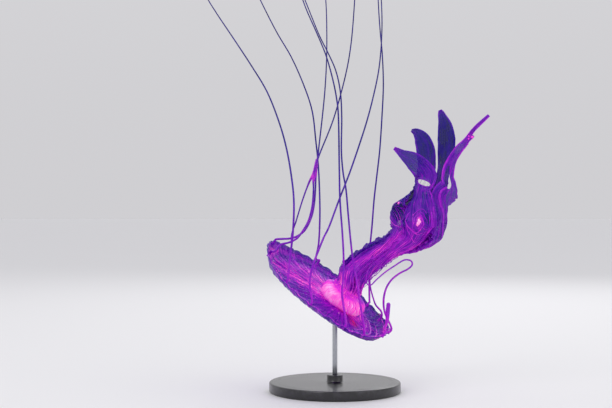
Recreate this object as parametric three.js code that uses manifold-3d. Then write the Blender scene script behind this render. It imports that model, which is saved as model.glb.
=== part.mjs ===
// A sea nettle jellyfish, life size, swimming down to the left with its mouth side up:
// a flat saucer bell, four ribbon-like oral arms that run together, billow and part into
// leaf-shaped ends, and twelve thread-like tentacles that trail upwards.
// A plain stand, a round base with one rod, carries the bell under its apex.
// Millimetres, +Z up, +X to the right. The origin is the centre of the base's underside,
// straight below the bell's apex.

import * as THREE from 'three';
import { mergeVertices } from 'three/addons/utils/BufferGeometryUtils.js';
import Module from 'manifold-3d';

const wasm = await Module();
wasm.setup();

// ---------------------------------------------------------------- driving dimensions

const GAP = 0.3;                    // clearance kept between touching pieces

const BELL = {
  radius: 74,                       // centre of the rim to the lappets
  apexHeight: 76.2,                 // floor to the outside of the apex
  slopeDeg: 36,                     // fall of the rim plane towards +X
  leanDeg: 12.7,                    // turn of the mouth side towards -Y
  rimShift: -22,                    // the rim's centre, away from the stomach along the slope
  domeDepth: 13.5,                  // apex to rim plane
  domePower: 1.8,
  endDroop: 4,                      // how much shallower the bell is towards the slope's two ends
  apexFlat: 0.14,                   // share of the radius that is flat at the apex
  apexThickness: 13,
  rimThickness: 1.2,
  crownShare: 0.5,                  // share of the radius that the crown covers
  shoulderShare: 0.32,              // share of the radius where the crown starts to slope
  octants: 8,
  lappetsPerOctant: 4,
  lappetReach: 0.035,               // how far a lappet stands out, as a share of the radius
  rimCurl: 1.5,                     // how far the rim turns up everywhere
  endCurl: 9,                       // and further at the slope's two ends
  curlShare: 0.85,                  // share of the radius where the curl and the lappets start
};

const GONAD = { count: 4, ring: 18, radial: 9.5, around: 10.5, high: 6.5, height: 20.5, firstDeg: 45 };
const STOMACH_SHIFT = -3;           // the ring of gonads, away from the mouth along the slope
const MOUTH = {
  top: 28.8,                        // apex to the lip, mouthward
  foot: 5.6, waist: 4.4, neck: 5.6, funnel: 8.6, rim: 14.2, // radii from the bell to the lip
  waistDrop: 2, neckRise: 2, funnelDrop: 1.3,               // their places by the gonads
  lean: -6.5, funnelLean: -2.2,     // shift of the lip and of the funnel along the slope
};

const ARM_THICKNESS = 1.0;
const ARM_RUFFLE = 1.1;             // sideways swing of an arm's free edges
const ARM_RUFFLES_PER_STATION = 0.45;
const ARM_RUFFLE_SLANT = 2;         // how far a ruffle runs on from one edge to the other, in radians
const ARM_TWIST_DEG = 135;          // turn of the four arms about their bundle
const ARM_ARC_DEG = 38;             // half of the arc that an arm takes in the bundle
const ARM_CUT = 0.0015;             // clearance between an arm's lengths, as a share of the arm

const TENTACLE = { rootRadius: 1.15, tipRadius: 0.5, sides: 5, rootShare: 0.95 };
const ROOT_CLEARANCE = 1.7;         // a tentacle's foot above the thin, curved rim
const ROOT_RISE = 5;                // how far a tentacle stands square to the bell

const BASE = { radius: 66, thickness: 10, chamfer: 1.6, bossRadius: 8, bossHeight: 7, bossChamfer: 1 };
const ROD = {
  radius: 2.5, socketDepth: 9, ballRadius: 3.6,
  ballDrop: 6.2,                    // the ball's centre below the apex
  padRadius: 8, padFootRadius: 6.8, padThickness: 3.6,
};

// How finely each shape is divided.
const MESH = {
  crownAround: 24, lappetColumns: 3, octantRows: 4,
  octantRowPower: 0.7,              // under 1 crowds an octant's rows towards the rim
  gonadAround: 12, gonadHigh: 7, stalkAround: 20, armAcross: 5, armAlong: 9,
  tentacleLeast: 5, tentaclePerPoint: 1.8,
  baseAround: 40, rodAround: 16, ballAround: 14, ballHigh: 8, padAround: 24,
};

// ---------------------------------------------------------------- colours and finishes

const finish = (color, roughness, metalness = 0, opacity = 1) => new THREE.MeshStandardMaterial({
  color, roughness, metalness, opacity, transparent: opacity < 1,
});
const MATERIALS = {
  bell: finish(0x6a1fd0, 0.3, 0, 0.75),
  margin: finish(0x5a18c8, 0.3, 0, 0.7),
  gonad: finish(0xff5fc8, 0.4),
  arm: finish(0xa428d8, 0.35, 0, 0.75),
  tentacle: finish(0x4a18c0, 0.35),
  base: finish(0x202024, 0.35),
  steel: finish(0xb8bcc2, 0.25, 1),
};

// ---------------------------------------------------------------- vectors and curves

const radians = THREE.MathUtils.degToRad;
const vector = ([x, y, z]) => new THREE.Vector3(x, y, z);
const smooth = (low, high, x) => THREE.MathUtils.smoothstep(x, low, high);

/** A uniform Catmull-Rom curve, so that its parameter counts stations. */
const curveThrough = (points) => new THREE.CatmullRomCurve3(points, false, 'catmullrom', 0.5);

/** A number read from a row of stations at t from 0 to 1. */
function alongRow(row, t) {
  const place = t * (row.length - 1);
  const low = Math.min(Math.floor(place), row.length - 2);
  return THREE.MathUtils.lerp(row[low], row[low + 1], place - low);
}

// ---------------------------------------------------------------- closed bodies

/** A closed body from points and triangles; it is turned right side out if it is inside out. */
function closedGeometry(points, triangles) {
  const position = new Float32Array(points.flatMap((p) => [p.x, p.y, p.z]));
  const geometry = new THREE.BufferGeometry();
  geometry.setAttribute('position', new THREE.BufferAttribute(position, 3));
  let volume = 0;
  const cross = new THREE.Vector3();
  for (const [a, b, c] of triangles) volume += cross.crossVectors(points[a], points[b]).dot(points[c]);
  geometry.setIndex((volume < 0 ? triangles.map(([a, b, c]) => [a, c, b]) : triangles).flat());
  geometry.computeVertexNormals();
  return geometry;
}

/** Rings of equal length joined in order, with a point that closes each end. */
function loftGeometry(rings, startPole, endPole) {
  const count = rings[0].length;
  const points = [...rings.flat(), startPole, endPole];
  const start = rings.length * count;
  const end = start + 1;
  const last = (rings.length - 1) * count;
  const triangles = [];
  for (let i = 0; i < count; i++) {
    const next = (i + 1) % count;
    triangles.push([start, next, i], [end, last + i, last + next]);
    for (let r = 0; r < rings.length - 1; r++) {
      const near = r * count;
      const far = near + count;
      triangles.push([near + i, near + next, far + next], [near + i, far + next, far + i]);
    }
  }
  return closedGeometry(points, triangles);
}

/** A sheet with thickness: pointAt(u, v, side) gives its two faces, with u, v from 0 to 1. */
function sheetGeometry(columns, rows, pointAt) {
  const points = [];
  const triangles = [];
  const index = (side, i, j) => (side * (columns + 1) + i) * (rows + 1) + j;
  for (const side of [0, 1]) {
    for (let i = 0; i <= columns; i++) {
      for (let j = 0; j <= rows; j++) points.push(pointAt(i / columns, j / rows, side));
    }
  }
  const quad = (a, b, c, d) => triangles.push([a, b, c], [a, c, d]);
  for (let i = 0; i < columns; i++) {
    for (let j = 0; j < rows; j++) {
      quad(index(1, i, j), index(1, i + 1, j), index(1, i + 1, j + 1), index(1, i, j + 1));
      quad(index(0, i, j), index(0, i, j + 1), index(0, i + 1, j + 1), index(0, i + 1, j));
    }
    quad(index(0, i, 0), index(0, i + 1, 0), index(1, i + 1, 0), index(1, i, 0));
    quad(index(1, i, rows), index(1, i + 1, rows), index(0, i + 1, rows), index(0, i, rows));
  }
  for (let j = 0; j < rows; j++) {
    quad(index(1, 0, j), index(1, 0, j + 1), index(0, 0, j + 1), index(0, 0, j));
    quad(index(0, columns, j), index(0, columns, j + 1), index(1, columns, j + 1), index(1, columns, j));
  }
  return closedGeometry(points, triangles);
}

/** A three.js geometry as a manifold-3d solid. */
function solidOf(geometry) {
  const bare = geometry.clone();
  bare.deleteAttribute('normal');
  if (bare.getAttribute('uv')) bare.deleteAttribute('uv');
  const merged = mergeVertices(bare, 1e-4);
  return new wasm.Manifold(new wasm.Mesh({
    numProp: 3,
    vertProperties: merged.getAttribute('position').array,
    triVerts: new Uint32Array(merged.index.array),
  }));
}

/** A manifold-3d solid as a three.js geometry. */
function geometryOf(solid) {
  const mesh = solid.getMesh();
  const geometry = new THREE.BufferGeometry();
  geometry.setAttribute('position', new THREE.BufferAttribute(mesh.vertProperties, 3));
  geometry.setIndex(new THREE.BufferAttribute(mesh.triVerts, 1));
  geometry.computeVertexNormals();
  return geometry;
}

const jellyfish = new THREE.Group();

function addPiece(name, geometry, material) {
  const mesh = new THREE.Mesh(geometry, material);
  mesh.name = name;
  jellyfish.add(mesh);
  return mesh;
}

// ---------------------------------------------------------------- the bell's own axes

const slope = radians(BELL.slopeDeg);
const lean = radians(BELL.leanDeg);
const downSlope = new THREE.Vector3(Math.cos(slope), 0, -Math.sin(slope));
const mouthward = new THREE.Vector3(
  Math.sin(slope) * Math.cos(lean), -Math.sin(lean), Math.cos(slope) * Math.cos(lean),
);
const acrossSlope = new THREE.Vector3().crossVectors(mouthward, downSlope);
const apex = new THREE.Vector3(0, 0, BELL.apexHeight);

/** A point from distances down the slope, across it, and mouthward of the apex. */
const fromApex = (down, across, up) => apex.clone()
  .addScaledVector(downSlope, down)
  .addScaledVector(acrossSlope, across)
  .addScaledVector(mouthward, up);

/** Height of the bell's outer face at a share of the radius and an angle round the rim. */
function outerHeight(share, angle) {
  const dome = Math.max(0, (share - BELL.apexFlat) / (1 - BELL.apexFlat)) ** BELL.domePower;
  const depth = BELL.domeDepth - BELL.endDroop * Math.cos(angle) ** 2;
  const curl = BELL.rimCurl + BELL.endCurl * Math.cos(angle) ** 4;
  return depth * dome + curl * smooth(BELL.curlShare, 1, share) ** 2;
}

const bellThickness = (share) => BELL.rimThickness
  + (BELL.apexThickness - BELL.rimThickness) * (1 - share * share) ** 2.2;

/** Reach of the rim at an angle: lappets stand out between the notches. */
function lappetReach(share, angle) {
  const wave = Math.abs(Math.sin(angle * BELL.octants * BELL.lappetsPerOctant / 2)) ** 0.6;
  return 1 + BELL.lappetReach * (wave - 0.6) * smooth(BELL.curlShare, 1, share);
}

/** A point on the bell: side 0 is the outer face and side 1 the mouth side. */
function bellPoint(share, angle, side) {
  const reach = BELL.radius * share * lappetReach(share, angle);
  const up = outerHeight(share, angle) + side * bellThickness(share);
  return fromApex(
    BELL.rimShift * share + reach * Math.cos(angle), reach * Math.sin(angle), up,
  );
}

// ---------------------------------------------------------------- bell

/** The crown: the thick middle of the bell, out to the octants. */
function addCrown() {
  const shares = [BELL.apexFlat, BELL.shoulderShare, BELL.crownShare];
  const ring = (share, side) => Array.from({ length: MESH.crownAround },
    (_, i) => bellPoint(share, 2 * Math.PI * i / MESH.crownAround, side));
  const rings = [
    ...shares.map((share) => ring(share, 0)),
    ...shares.toReversed().map((share) => ring(share, 1)),
  ];
  addPiece('bell_crown', loftGeometry(rings, bellPoint(0, 0, 0), bellPoint(0, 0, 1)), MATERIALS.bell);
}

/** The thin outer bell in eight lengths round the rim, each with four lappets. */
function addOctants() {
  const step = 2 * Math.PI / BELL.octants;
  const narrowest = BELL.radius + BELL.rimShift;   // the radius on the side that the rim is nearest
  const inner = BELL.crownShare + GAP / narrowest;
  const cut = GAP / (2 * BELL.crownShare * narrowest);
  for (let k = 0; k < BELL.octants; k++) {
    const from = k * step + cut;
    const to = (k + 1) * step - cut;
    const columns = BELL.lappetsPerOctant * MESH.lappetColumns;
    const geometry = sheetGeometry(columns, MESH.octantRows, (u, v, side) => bellPoint(
      THREE.MathUtils.lerp(inner, 1, v ** MESH.octantRowPower), THREE.MathUtils.lerp(from, to, u), side,
    ));
    addPiece(`bell_octant_${k + 1}`, geometry, MATERIALS.margin);
  }
}

// ---------------------------------------------------------------- stomach

/** Four gonad pouches round the stomach, on the mouth side of the crown. */
function addGonads() {
  for (let k = 0; k < GONAD.count; k++) {
    const angle = radians(GONAD.firstDeg + 360 * k / GONAD.count);
    const outward = downSlope.clone().multiplyScalar(Math.cos(angle))
      .addScaledVector(acrossSlope, Math.sin(angle));
    const sideways = new THREE.Vector3().crossVectors(outward, mouthward);
    const centre = fromApex(STOMACH_SHIFT, 0, GONAD.height).addScaledVector(outward, GONAD.ring);
    const pouch = new THREE.SphereGeometry(1, MESH.gonadAround, MESH.gonadHigh);
    pouch.applyMatrix4(new THREE.Matrix4()
      .makeBasis(outward, mouthward, sideways)
      .scale(new THREE.Vector3(GONAD.radial, GONAD.high, GONAD.around))
      .setPosition(centre));
    addPiece(`gonad_${k + 1}`, geometryOf(solidOf(pouch)), MATERIALS.gonad);
  }
}

/** The stalk of the mouth: it stands between the gonads and opens out over them. */
function addMouthStalk() {
  const foot = BELL.apexThickness + GAP;
  const over = GONAD.height + GONAD.high + GAP;
  const profile = [                 // radius, height, and shift along the slope
    [0, foot, 0], [MOUTH.foot, foot, 0], [MOUTH.waist, GONAD.height - MOUTH.waistDrop, 0],
    [MOUTH.neck, GONAD.height + MOUTH.neckRise, 0],
    [MOUTH.funnel, over - MOUTH.funnelDrop, MOUTH.funnelLean],
    [MOUTH.rim, over, MOUTH.lean], [MOUTH.rim, MOUTH.top, MOUTH.lean], [0, MOUTH.top, MOUTH.lean],
  ];
  const stalk = new THREE.LatheGeometry(
    profile.map(([radius, height]) => new THREE.Vector2(radius, height)), MESH.stalkAround);
  const places = stalk.getAttribute('position');
  for (let i = 0; i < places.count; i++) {
    places.setX(i, places.getX(i) + profile[i % profile.length][2]);
  }
  stalk.applyMatrix4(new THREE.Matrix4().makeBasis(downSlope, mouthward, acrossSlope.clone().negate())
    .setPosition(apex));
  addPiece('mouth_stalk', geometryOf(solidOf(stalk)), MATERIALS.gonad);
}

// ---------------------------------------------------------------- oral arms

const SQUARE_RISE = 7;              // how far the bundle leaves the mouth squarely

// The bundle that the four arms share: the places of its middle line, and its radius there.
// It leaves the mouth squarely, narrows, and billows before the arms part.
const BUNDLE = {
  middle: [
    fromApex(MOUTH.lean, 0, MOUTH.top + GAP), fromApex(MOUTH.lean, 0, MOUTH.top + SQUARE_RISE),
    ...[
      [19, -7, 118.6], [37, -7, 132.5], [56, -5, 144], [72, -2, 154.5], [83.5, -1, 167],
      [91, -2, 185], [95, -3, 200],
    ].map(vector),
  ],
  radius: [14, 13.6, 14.4, 10.8, 9.5, 17, 26.5, 22, 15.5],
};

// Past the bundle each arm goes its own way: its place round the bundle's end, then for each
// station of its end part a place, the way its broad face looks, and half its width.
const ARMS = [
  {
    name: 'oral_arm_1', quarterDeg: -45,
    tip: [
      { at: [89, -13, 217], face: [-0.3, -1, 0], half: 11 },
      { at: [78.5, -14, 230], face: [-0.1, -1, 0.2], half: 9 },
      { at: [66.5, -13, 238], face: [0.1, -1, 0.2], half: 4.5 },
      { at: [58.5, -12, 243.5], face: [0.1, -1, 0], half: 1.3 },
    ],
  },
  {
    name: 'oral_arm_2', quarterDeg: 45,
    tip: [
      { at: [92, 7, 222], face: [-0.3, 1, 0], half: 9.5 },
      { at: [92, 8, 240], face: [-0.1, 1, 0], half: 9.5 },
      { at: [88.5, 9, 253], face: [0.1, 1, 0], half: 8 },
      { at: [83, 9, 260], face: [0.1, 1, 0.1], half: 4.5 },
      { at: [77.5, 9, 262.5], face: [0.1, 1, 0.1], half: 1.3 },
    ],
  },
  {
    name: 'oral_arm_3', quarterDeg: 135,
    tip: [
      { at: [109, 9, 214], face: [0.5, 1, 0], half: 6 },
      { at: [111, 11, 226], face: [0.3, 1, 0], half: 6.5 },
      { at: [113, 13, 240], face: [0.1, 1, 0], half: 8.5 },
      { at: [113.5, 14, 254], face: [0, 1, 0], half: 9 },
      { at: [112, 15, 268], face: [0, 1, 0], half: 7 },
      { at: [109, 15, 278], face: [-0.1, 1, 0], half: 4 },
      { at: [107, 15, 283.5], face: [-0.1, 1, 0], half: 1.4 },
    ],
  },
  {
    name: 'oral_arm_4', quarterDeg: 225,
    tip: [
      { at: [113, -14, 204], face: [0.6, -1, 0], half: 9 },
      { at: [111.8, -12, 216], face: [0.4, -1, 0], half: 6.2 },
      { at: [115.2, -11, 229], face: [0.3, -1, 0], half: 5.4 },
      { at: [122, -10, 241], face: [0.2, -1, 0], half: 4.3 },
      { at: [130.5, -9, 250.5], face: [0.2, -1, 0], half: 3.5 },
      { at: [138, -8, 262], face: [0.2, -1, 0], half: 2.2 },
      { at: [153.5, -7, 276.5], face: [0.2, -1, 0], half: 1.3 },
    ],
  },
];
const SQUARE_STATIONS = 2;          // stations of the bundle before it bends and twists
const FLAT_CURL = 40;               // radius of the slight cup across an arm's end part

/** One arm as rows of stations: middle line, outward face, half width and radius of curl. */
function armStations(arm) {
  const line = curveThrough(BUNDLE.middle);
  const last = BUNDLE.middle.length - 1;
  const stations = BUNDLE.middle.map((middle, j) => {
    const tangent = j < SQUARE_STATIONS ? mouthward : line.getTangent(j / last);
    const away = new THREE.Vector3(0, 1, 0).addScaledVector(tangent, -tangent.y).normalize();
    const aside = new THREE.Vector3().crossVectors(tangent, away);
    const turned = Math.max(0, j + 1 - SQUARE_STATIONS) / (last + 1 - SQUARE_STATIONS);
    const turn = radians(arm.quarterDeg - ARM_TWIST_DEG * (1 - turned));
    const face = aside.multiplyScalar(Math.cos(turn)).addScaledVector(away, Math.sin(turn));
    return {
      at: middle.clone().addScaledVector(face, BUNDLE.radius[j]),
      face,
      half: BUNDLE.radius[j] * radians(ARM_ARC_DEG),
      curl: BUNDLE.radius[j],
    };
  });
  for (const { at, face, half } of arm.tip) {
    stations.push({ at: vector(at), face: vector(face).normalize(), half, curl: FLAT_CURL });
  }
  return stations;
}

/** The function that gives an arm's points: along from 0 to 1, across from -1 to 1, and depth. */
function armSurface(arm) {
  const stations = armStations(arm);
  const line = curveThrough(stations.map((s) => s.at));
  const faces = curveThrough(stations.map((s) => s.face));
  const halves = stations.map((s) => s.half);
  const curls = stations.map((s) => s.curl);
  return (along, across, depth) => {
    const tangent = line.getTangent(along);
    const face = faces.getPoint(along);
    face.addScaledVector(tangent, -face.dot(tangent)).normalize();
    const width = new THREE.Vector3().crossVectors(tangent, face);
    const curl = alongRow(curls, along) + depth;
    const turn = across * alongRow(halves, along) / alongRow(curls, along);
    const ruffle = ARM_RUFFLE * across * across
      * Math.sin(2 * Math.PI * ARM_RUFFLES_PER_STATION * along * stations.length
        + ARM_RUFFLE_SLANT * across);
    return line.getPoint(along)
      .addScaledVector(width, curl * Math.sin(turn))
      .addScaledVector(face, curl * Math.cos(turn) - alongRow(curls, along) + ruffle);
  };
}

/** Each arm in three lengths. */
function addArms() {
  const lengths = ['root', 'middle', 'end'];
  for (const arm of ARMS) {
    const surface = armSurface(arm);
    lengths.forEach((length, k) => {
      const from = k / lengths.length + (k ? ARM_CUT : 0);
      const to = (k + 1) / lengths.length;
      const geometry = sheetGeometry(MESH.armAcross, MESH.armAlong, (u, v, side) => surface(
        THREE.MathUtils.lerp(from, to, v), 2 * u - 1, (side - 0.5) * ARM_THICKNESS,
      ));
      addPiece(`${arm.name}_${length}`, geometry, MATERIALS.arm);
    });
  }
}

// ---------------------------------------------------------------- tentacles

// Where each tentacle leaves the rim, in degrees from the low end of the slope, and the places
// that it passes through. Radii are shares of the usual ones, read evenly along the tentacle.
const TENTACLES = [
  {
    name: 'tentacle_1', rimDeg: -125, lengths: 3,
    route: [
      [-44, -64, 139], [-41.5, -64, 160], [-40.5, -61, 188], [-42.5, -55, 211], [-47.5, -47, 240],
      [-55, -39, 267], [-67, -31, 297.5], [-83, -23, 324.5], [-101.5, -15, 353], [-119, -7, 379.5],
      [-131, -1, 400], [-143, 5, 428],
    ],
  },
  {
    name: 'tentacle_2', rimDeg: 108, lengths: 3,
    route: [
      [-18.5, 58, 131], [-15.8, 55, 146], [-14.7, 49, 167], [-14.7, 43, 192], [-16.2, 35, 226],
      [-19, 27, 253.5], [-22.5, 19, 281.5], [-30, 11, 305], [-43, 1, 334], [-58.5, -11, 359.5],
      [-73, -21, 387], [-86, -29, 414],
    ],
  },
  {
    name: 'tentacle_3', rimDeg: -45, lengths: 3,
    route: [
      [23.6, -54, 88.5], [21.8, -52, 101.5], [19, -50, 118], [16.2, -49, 134], [14.2, -47, 151],
      [12, -44, 175.5], [9.8, -40, 202], [7, -37, 219], [5.5, -34, 240.5], [6, -28, 273],
      [4.8, -24, 298], [0.5, -18, 319.5], [-7.3, -12, 338.5], [-16, -6, 357], [-28, 2, 388],
      [-38, 8, 414], [-49, 14, 442],
    ],
  },
  {
    name: 'tentacle_4', rimDeg: -66, lengths: 3,
    route: [
      [5.2, -70, 102], [6.4, -69, 121], [6.6, -66, 139.5], [5.5, -62, 161.5], [3.5, -56, 192],
      [3, -50, 223.5], [2.4, -42, 272], [0.5, -37, 292], [-3.3, -34, 311], [-9.5, -30, 333.5],
      [-18.3, -26, 355.5], [-29, -22, 380.5], [-37, -19, 404], [-45, -17, 430],
    ],
  },
  {
    name: 'tentacle_5', rimDeg: 172, lengths: 3, rootShare: 0.97,
    route: [
      [-59, 4, 152.5], [-52, 1, 153], [-45, -1, 153.5], [-37.5, -3, 156],
      [-30, -6, 162], [-24, -8, 174], [-21, -10, 187], [-19.6, -12, 204], [-19.4, -12, 217],
      [-17.9, -12, 229.5], [-16.5, -11, 242], [-12.5, -8, 277], [-10, -3, 303], [-8.4, 1, 331],
      [-8, 7, 359], [-8.6, 13, 389], [-11, 19, 420], [-15, 23, 446],
    ],
  },
  {
    name: 'tentacle_6', rimDeg: -165, lengths: 3,
    route: [
      [-59.8, -24, 141.5], [-54, -23, 148], [-46, -21, 150], [-38, -18, 154], [-32.5, -17, 161],
      [-26.5, -16.5, 171.5], [-22.8, -16.5, 186], [-21.6, -16.5, 202], [-21.6, -16.5, 214],
      [-19, -16.5, 227.5], [-14.5, -16, 240], [-1.5, -16, 273], [10, -18, 315], [15.5, -22, 347],
      [18.5, -28, 385], [19.5, -33, 412], [19, -37, 440],
    ],
  },
  {
    name: 'tentacle_7', rimDeg: -98, lengths: 3,
    route: [
      [-25.5, -73, 114.5], [-22.2, -73, 131], [-17, -70, 144.5], [-12.3, -67, 156], [-6.8, -62, 167],
      [2.7, -54, 192], [13.5, -44, 219], [24.4, -34, 250], [31.5, -26, 272], [37.8, -18, 295.5],
      [43, -10, 319], [46, -2, 342], [47.5, 4, 368], [47.2, 10, 394], [45.5, 16, 424], [44, 21, 450],
    ],
  },
  {
    name: 'tentacle_8', rimDeg: 50, lengths: 3,
    route: [
      [37.4, 52, 87.5], [37, 50, 107.5], [36.8, 48, 127], [37.8, 46, 145], [39.6, 42, 166],
      [41.4, 38, 192], [43.8, 34, 215], [46.8, 30, 243.5], [49, 27, 279], [50.2, 25, 310],
      [49, 23, 340.5], [46.8, 24, 366], [45.3, 26, 391], [44.5, 28, 417], [46, 32, 444],
    ],
  },
  {
    name: 'tentacle_9', rimDeg: 140, lengths: 2, radius: [1, 0.9, 0.8, 1.0, 1.5, 1.7],
    route: [
      [-43.7, 37, 156.5], [-39.3, 29, 170], [-33, 13, 192], [-27.3, 2, 209],
      [-23.8, -4.5, 219.5], [-21, -7, 233],
    ],
  },
  {
    name: 'tentacle_10', rimDeg: -20, lengths: 1, rootShare: 0.99, radius: [1, 0.9, 1.1, 1.7, 1.75, 1.5],
    route: [[48, -29.5, 65.5], [50.2, -30, 73], [51, -29, 81.5], [52, -28, 91.5]],
  },
  {
    name: 'tentacle_11', rimDeg: -6, lengths: 2, rootShare: 0.99,
    route: [
      [49.5, -10, 80], [48, -13, 92], [50, -16, 103.5], [55, -18, 112.5], [63, -21, 119.5],
      [71, -25, 124], [75.2, -27, 128.5], [73.5, -28, 132.5], [67, -28.5, 133], [58, -27.5, 127.5],
      [48.5, -27, 121], [40.5, -26, 114], [35, -25, 108.5], [31.5, -24, 109], [30, -24, 114],
      [31.6, -23.5, 121.5], [36, -23, 129],
    ],
  },
  {
    name: 'tentacle_12', rimDeg: 28, lengths: 1,
    route: [
      [48, 28, 78], [42.5, 25, 84.5], [39.5, 23, 92.5], [37, 21, 102], [36.2, 20, 112],
      [37.5, 20, 122], [44, 21, 131.5],
    ],
  },
];

/** Where a tentacle grows: just above the mouth side, a little inside the rim. */
function tentacleRoot(tentacle) {
  const share = tentacle.rootShare ?? TENTACLE.rootShare;
  return bellPoint(share, radians(tentacle.rimDeg), 1);
}

/** A tentacle's middle line, which starts square to the bell. */
function tentacleLine(tentacle) {
  const root = tentacleRoot(tentacle);
  const foot = root.clone().addScaledVector(mouthward, ROOT_CLEARANCE);
  const square = root.clone().addScaledVector(mouthward, ROOT_RISE);
  return curveThrough([foot, square, ...tentacle.route.map(vector)]);
}

/** Each tentacle as tapering lengths, so that a long one is not a single thread. */
function addTentacle(tentacle) {
  const line = tentacleLine(tentacle);
  const cutShare = GAP / line.getLength();
  const steps = Math.max(MESH.tentacleLeast,
    Math.round(tentacle.route.length * MESH.tentaclePerPoint / tentacle.lengths));
  for (let k = 0; k < tentacle.lengths; k++) {
    const from = k / tentacle.lengths + (k ? cutShare : 0);
    const to = (k + 1) / tentacle.lengths;
    const rings = [];
    const side = new THREE.Vector3(0, 1, 0);
    for (let j = 0; j <= steps; j++) {
      const along = THREE.MathUtils.lerp(from, to, j / steps);
      const tangent = line.getTangentAt(along);
      side.addScaledVector(tangent, -side.dot(tangent)).normalize();
      const other = new THREE.Vector3().crossVectors(tangent, side);
      const radius = THREE.MathUtils.lerp(TENTACLE.rootRadius, TENTACLE.tipRadius, along)
        * alongRow(tentacle.radius ?? [1, 1], along);
      rings.push(Array.from({ length: TENTACLE.sides }, (_, i) => {
        const turn = 2 * Math.PI * i / TENTACLE.sides;
        return line.getPointAt(along)
          .addScaledVector(side, radius * Math.cos(turn))
          .addScaledVector(other, radius * Math.sin(turn));
      }));
    }
    const name = `${tentacle.name}_part_${k + 1}`;
    addPiece(name, loftGeometry(rings, line.getPointAt(from), line.getPointAt(to)), MATERIALS.tentacle);
  }
}

// ---------------------------------------------------------------- stand

/** The round base, with a boss and a blind socket for the rod. */
function addBase() {
  const { radius, thickness, chamfer, bossRadius, bossHeight, bossChamfer } = BASE;
  const top = thickness + bossHeight;
  const socket = ROD.radius + GAP;
  const profile = [
    [0, 0], [radius - chamfer, 0], [radius, chamfer], [radius, thickness - chamfer],
    [radius - chamfer, thickness], [bossRadius, thickness], [bossRadius, top - bossChamfer],
    [bossRadius - bossChamfer, top], [socket, top], [socket, top - ROD.socketDepth], [0, top - ROD.socketDepth],
  ].map(([r, h]) => new THREE.Vector2(r, h));
  const base = new THREE.LatheGeometry(profile, MESH.baseAround);
  base.rotateX(Math.PI / 2);
  addPiece('stand_base', geometryOf(solidOf(base)), MATERIALS.base);
}

/** The rod, with a ball and a round pad that meets the flat of the apex. */
function addRod() {
  const foot = BASE.thickness + BASE.bossHeight - ROD.socketDepth + GAP;
  const padMiddle = fromApex(0, 0, -GAP - ROD.padThickness / 2);
  const ballHeight = BELL.apexHeight - ROD.ballDrop;
  const height = ballHeight - foot;
  const rod = new THREE.CylinderGeometry(ROD.radius, ROD.radius, height, MESH.rodAround);
  rod.rotateX(Math.PI / 2);
  rod.translate(0, 0, foot + height / 2);
  const ball = new THREE.SphereGeometry(ROD.ballRadius, MESH.ballAround, MESH.ballHigh);
  ball.translate(0, 0, ballHeight);
  const pad = new THREE.CylinderGeometry(
    ROD.padRadius, ROD.padFootRadius, ROD.padThickness, MESH.padAround,
  );
  pad.applyMatrix4(new THREE.Matrix4().makeBasis(downSlope, mouthward, acrossSlope.clone().negate())
    .setPosition(padMiddle));
  addPiece('stand_rod', geometryOf(solidOf(rod).add(solidOf(ball)).add(solidOf(pad))), MATERIALS.steel);
}

addCrown();
addOctants();
addGonads();
addMouthStalk();
addArms();
TENTACLES.forEach(addTentacle);
addBase();
addRod();

export default jellyfish;
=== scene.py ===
"""A still, life-size sea nettle jellyfish, mouth side up, on a plain stand.

Each class holds the sizes of one sub-assembly in millimetres and builds its meshes in metres, in
the part's own frame: +Z up, +X to the right, and the origin straight below the bell's apex.
"""

import logging
import math
from dataclasses import dataclass, field
from enum import Enum
from typing import Callable, Sequence

import bpy
import numpy as np
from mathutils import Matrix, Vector


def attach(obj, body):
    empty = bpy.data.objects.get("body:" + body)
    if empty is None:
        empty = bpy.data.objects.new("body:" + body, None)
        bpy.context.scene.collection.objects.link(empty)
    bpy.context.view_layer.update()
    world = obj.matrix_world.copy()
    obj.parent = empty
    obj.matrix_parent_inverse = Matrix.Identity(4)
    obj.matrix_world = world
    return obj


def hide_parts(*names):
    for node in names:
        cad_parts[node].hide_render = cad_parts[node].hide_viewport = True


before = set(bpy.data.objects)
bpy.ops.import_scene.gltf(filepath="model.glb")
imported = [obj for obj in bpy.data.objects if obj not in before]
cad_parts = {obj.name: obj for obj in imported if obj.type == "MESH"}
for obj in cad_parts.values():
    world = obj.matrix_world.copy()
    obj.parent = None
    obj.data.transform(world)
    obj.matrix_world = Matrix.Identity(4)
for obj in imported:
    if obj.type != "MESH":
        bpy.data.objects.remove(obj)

log = logging.getLogger("sea_nettle")

MM = 0.001
TURN = 2 * math.pi
BODY = "root"

Array = np.ndarray
Number = float | np.ndarray
Rows = tuple[tuple[float, ...], ...]
Object = bpy.types.Object
Material = bpy.types.Material


# ------------------------------------ named options

class Slot(Enum):
    """The record's material slots."""

    BELL = "bell_jelly"
    STOMACH = "stomach_tissue"
    ARM = "oral_arm_tissue"
    TENTACLE = "tentacle_tissue"
    LACQUER = "stand_lacquer"
    STEEL = "stand_steel"


class TreeKind(Enum):
    """What a node group works on."""

    SHAPE = "GeometryNodeTree"
    SHADER = "ShaderNodeTree"


class Flow(Enum):
    """Where the streaks of a finish take their direction from."""

    ALONG_TISSUE = "flow"
    OBJECT = "object"


# ------------------------------------ arithmetic

def smooth(low: float, high: float, values: Number) -> Number:
    """Eases from 0 at low to 1 at high, which may be below low."""
    share = np.clip((values - low) / (high - low), 0, 1)
    return share * share * (3 - 2 * share)


def bump(middle: float, half: float, values: Number) -> Number:
    """A soft hill of height 1 that reaches half to each side of its middle."""
    return smooth(half, 0, np.abs(values - middle))


def taper(count: int, start: float, end: float, power: float) -> Array:
    """A thread's girth at count places: full in the middle and thin at its ends."""
    return np.sin(np.pi * np.linspace(start, end, count)) ** power


def spread(values: Sequence[float], shares: Array) -> Array:
    """Reads values that are spread evenly from share 0 to share 1."""
    return np.interp(shares, np.linspace(0, 1, len(values)), values)


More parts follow.
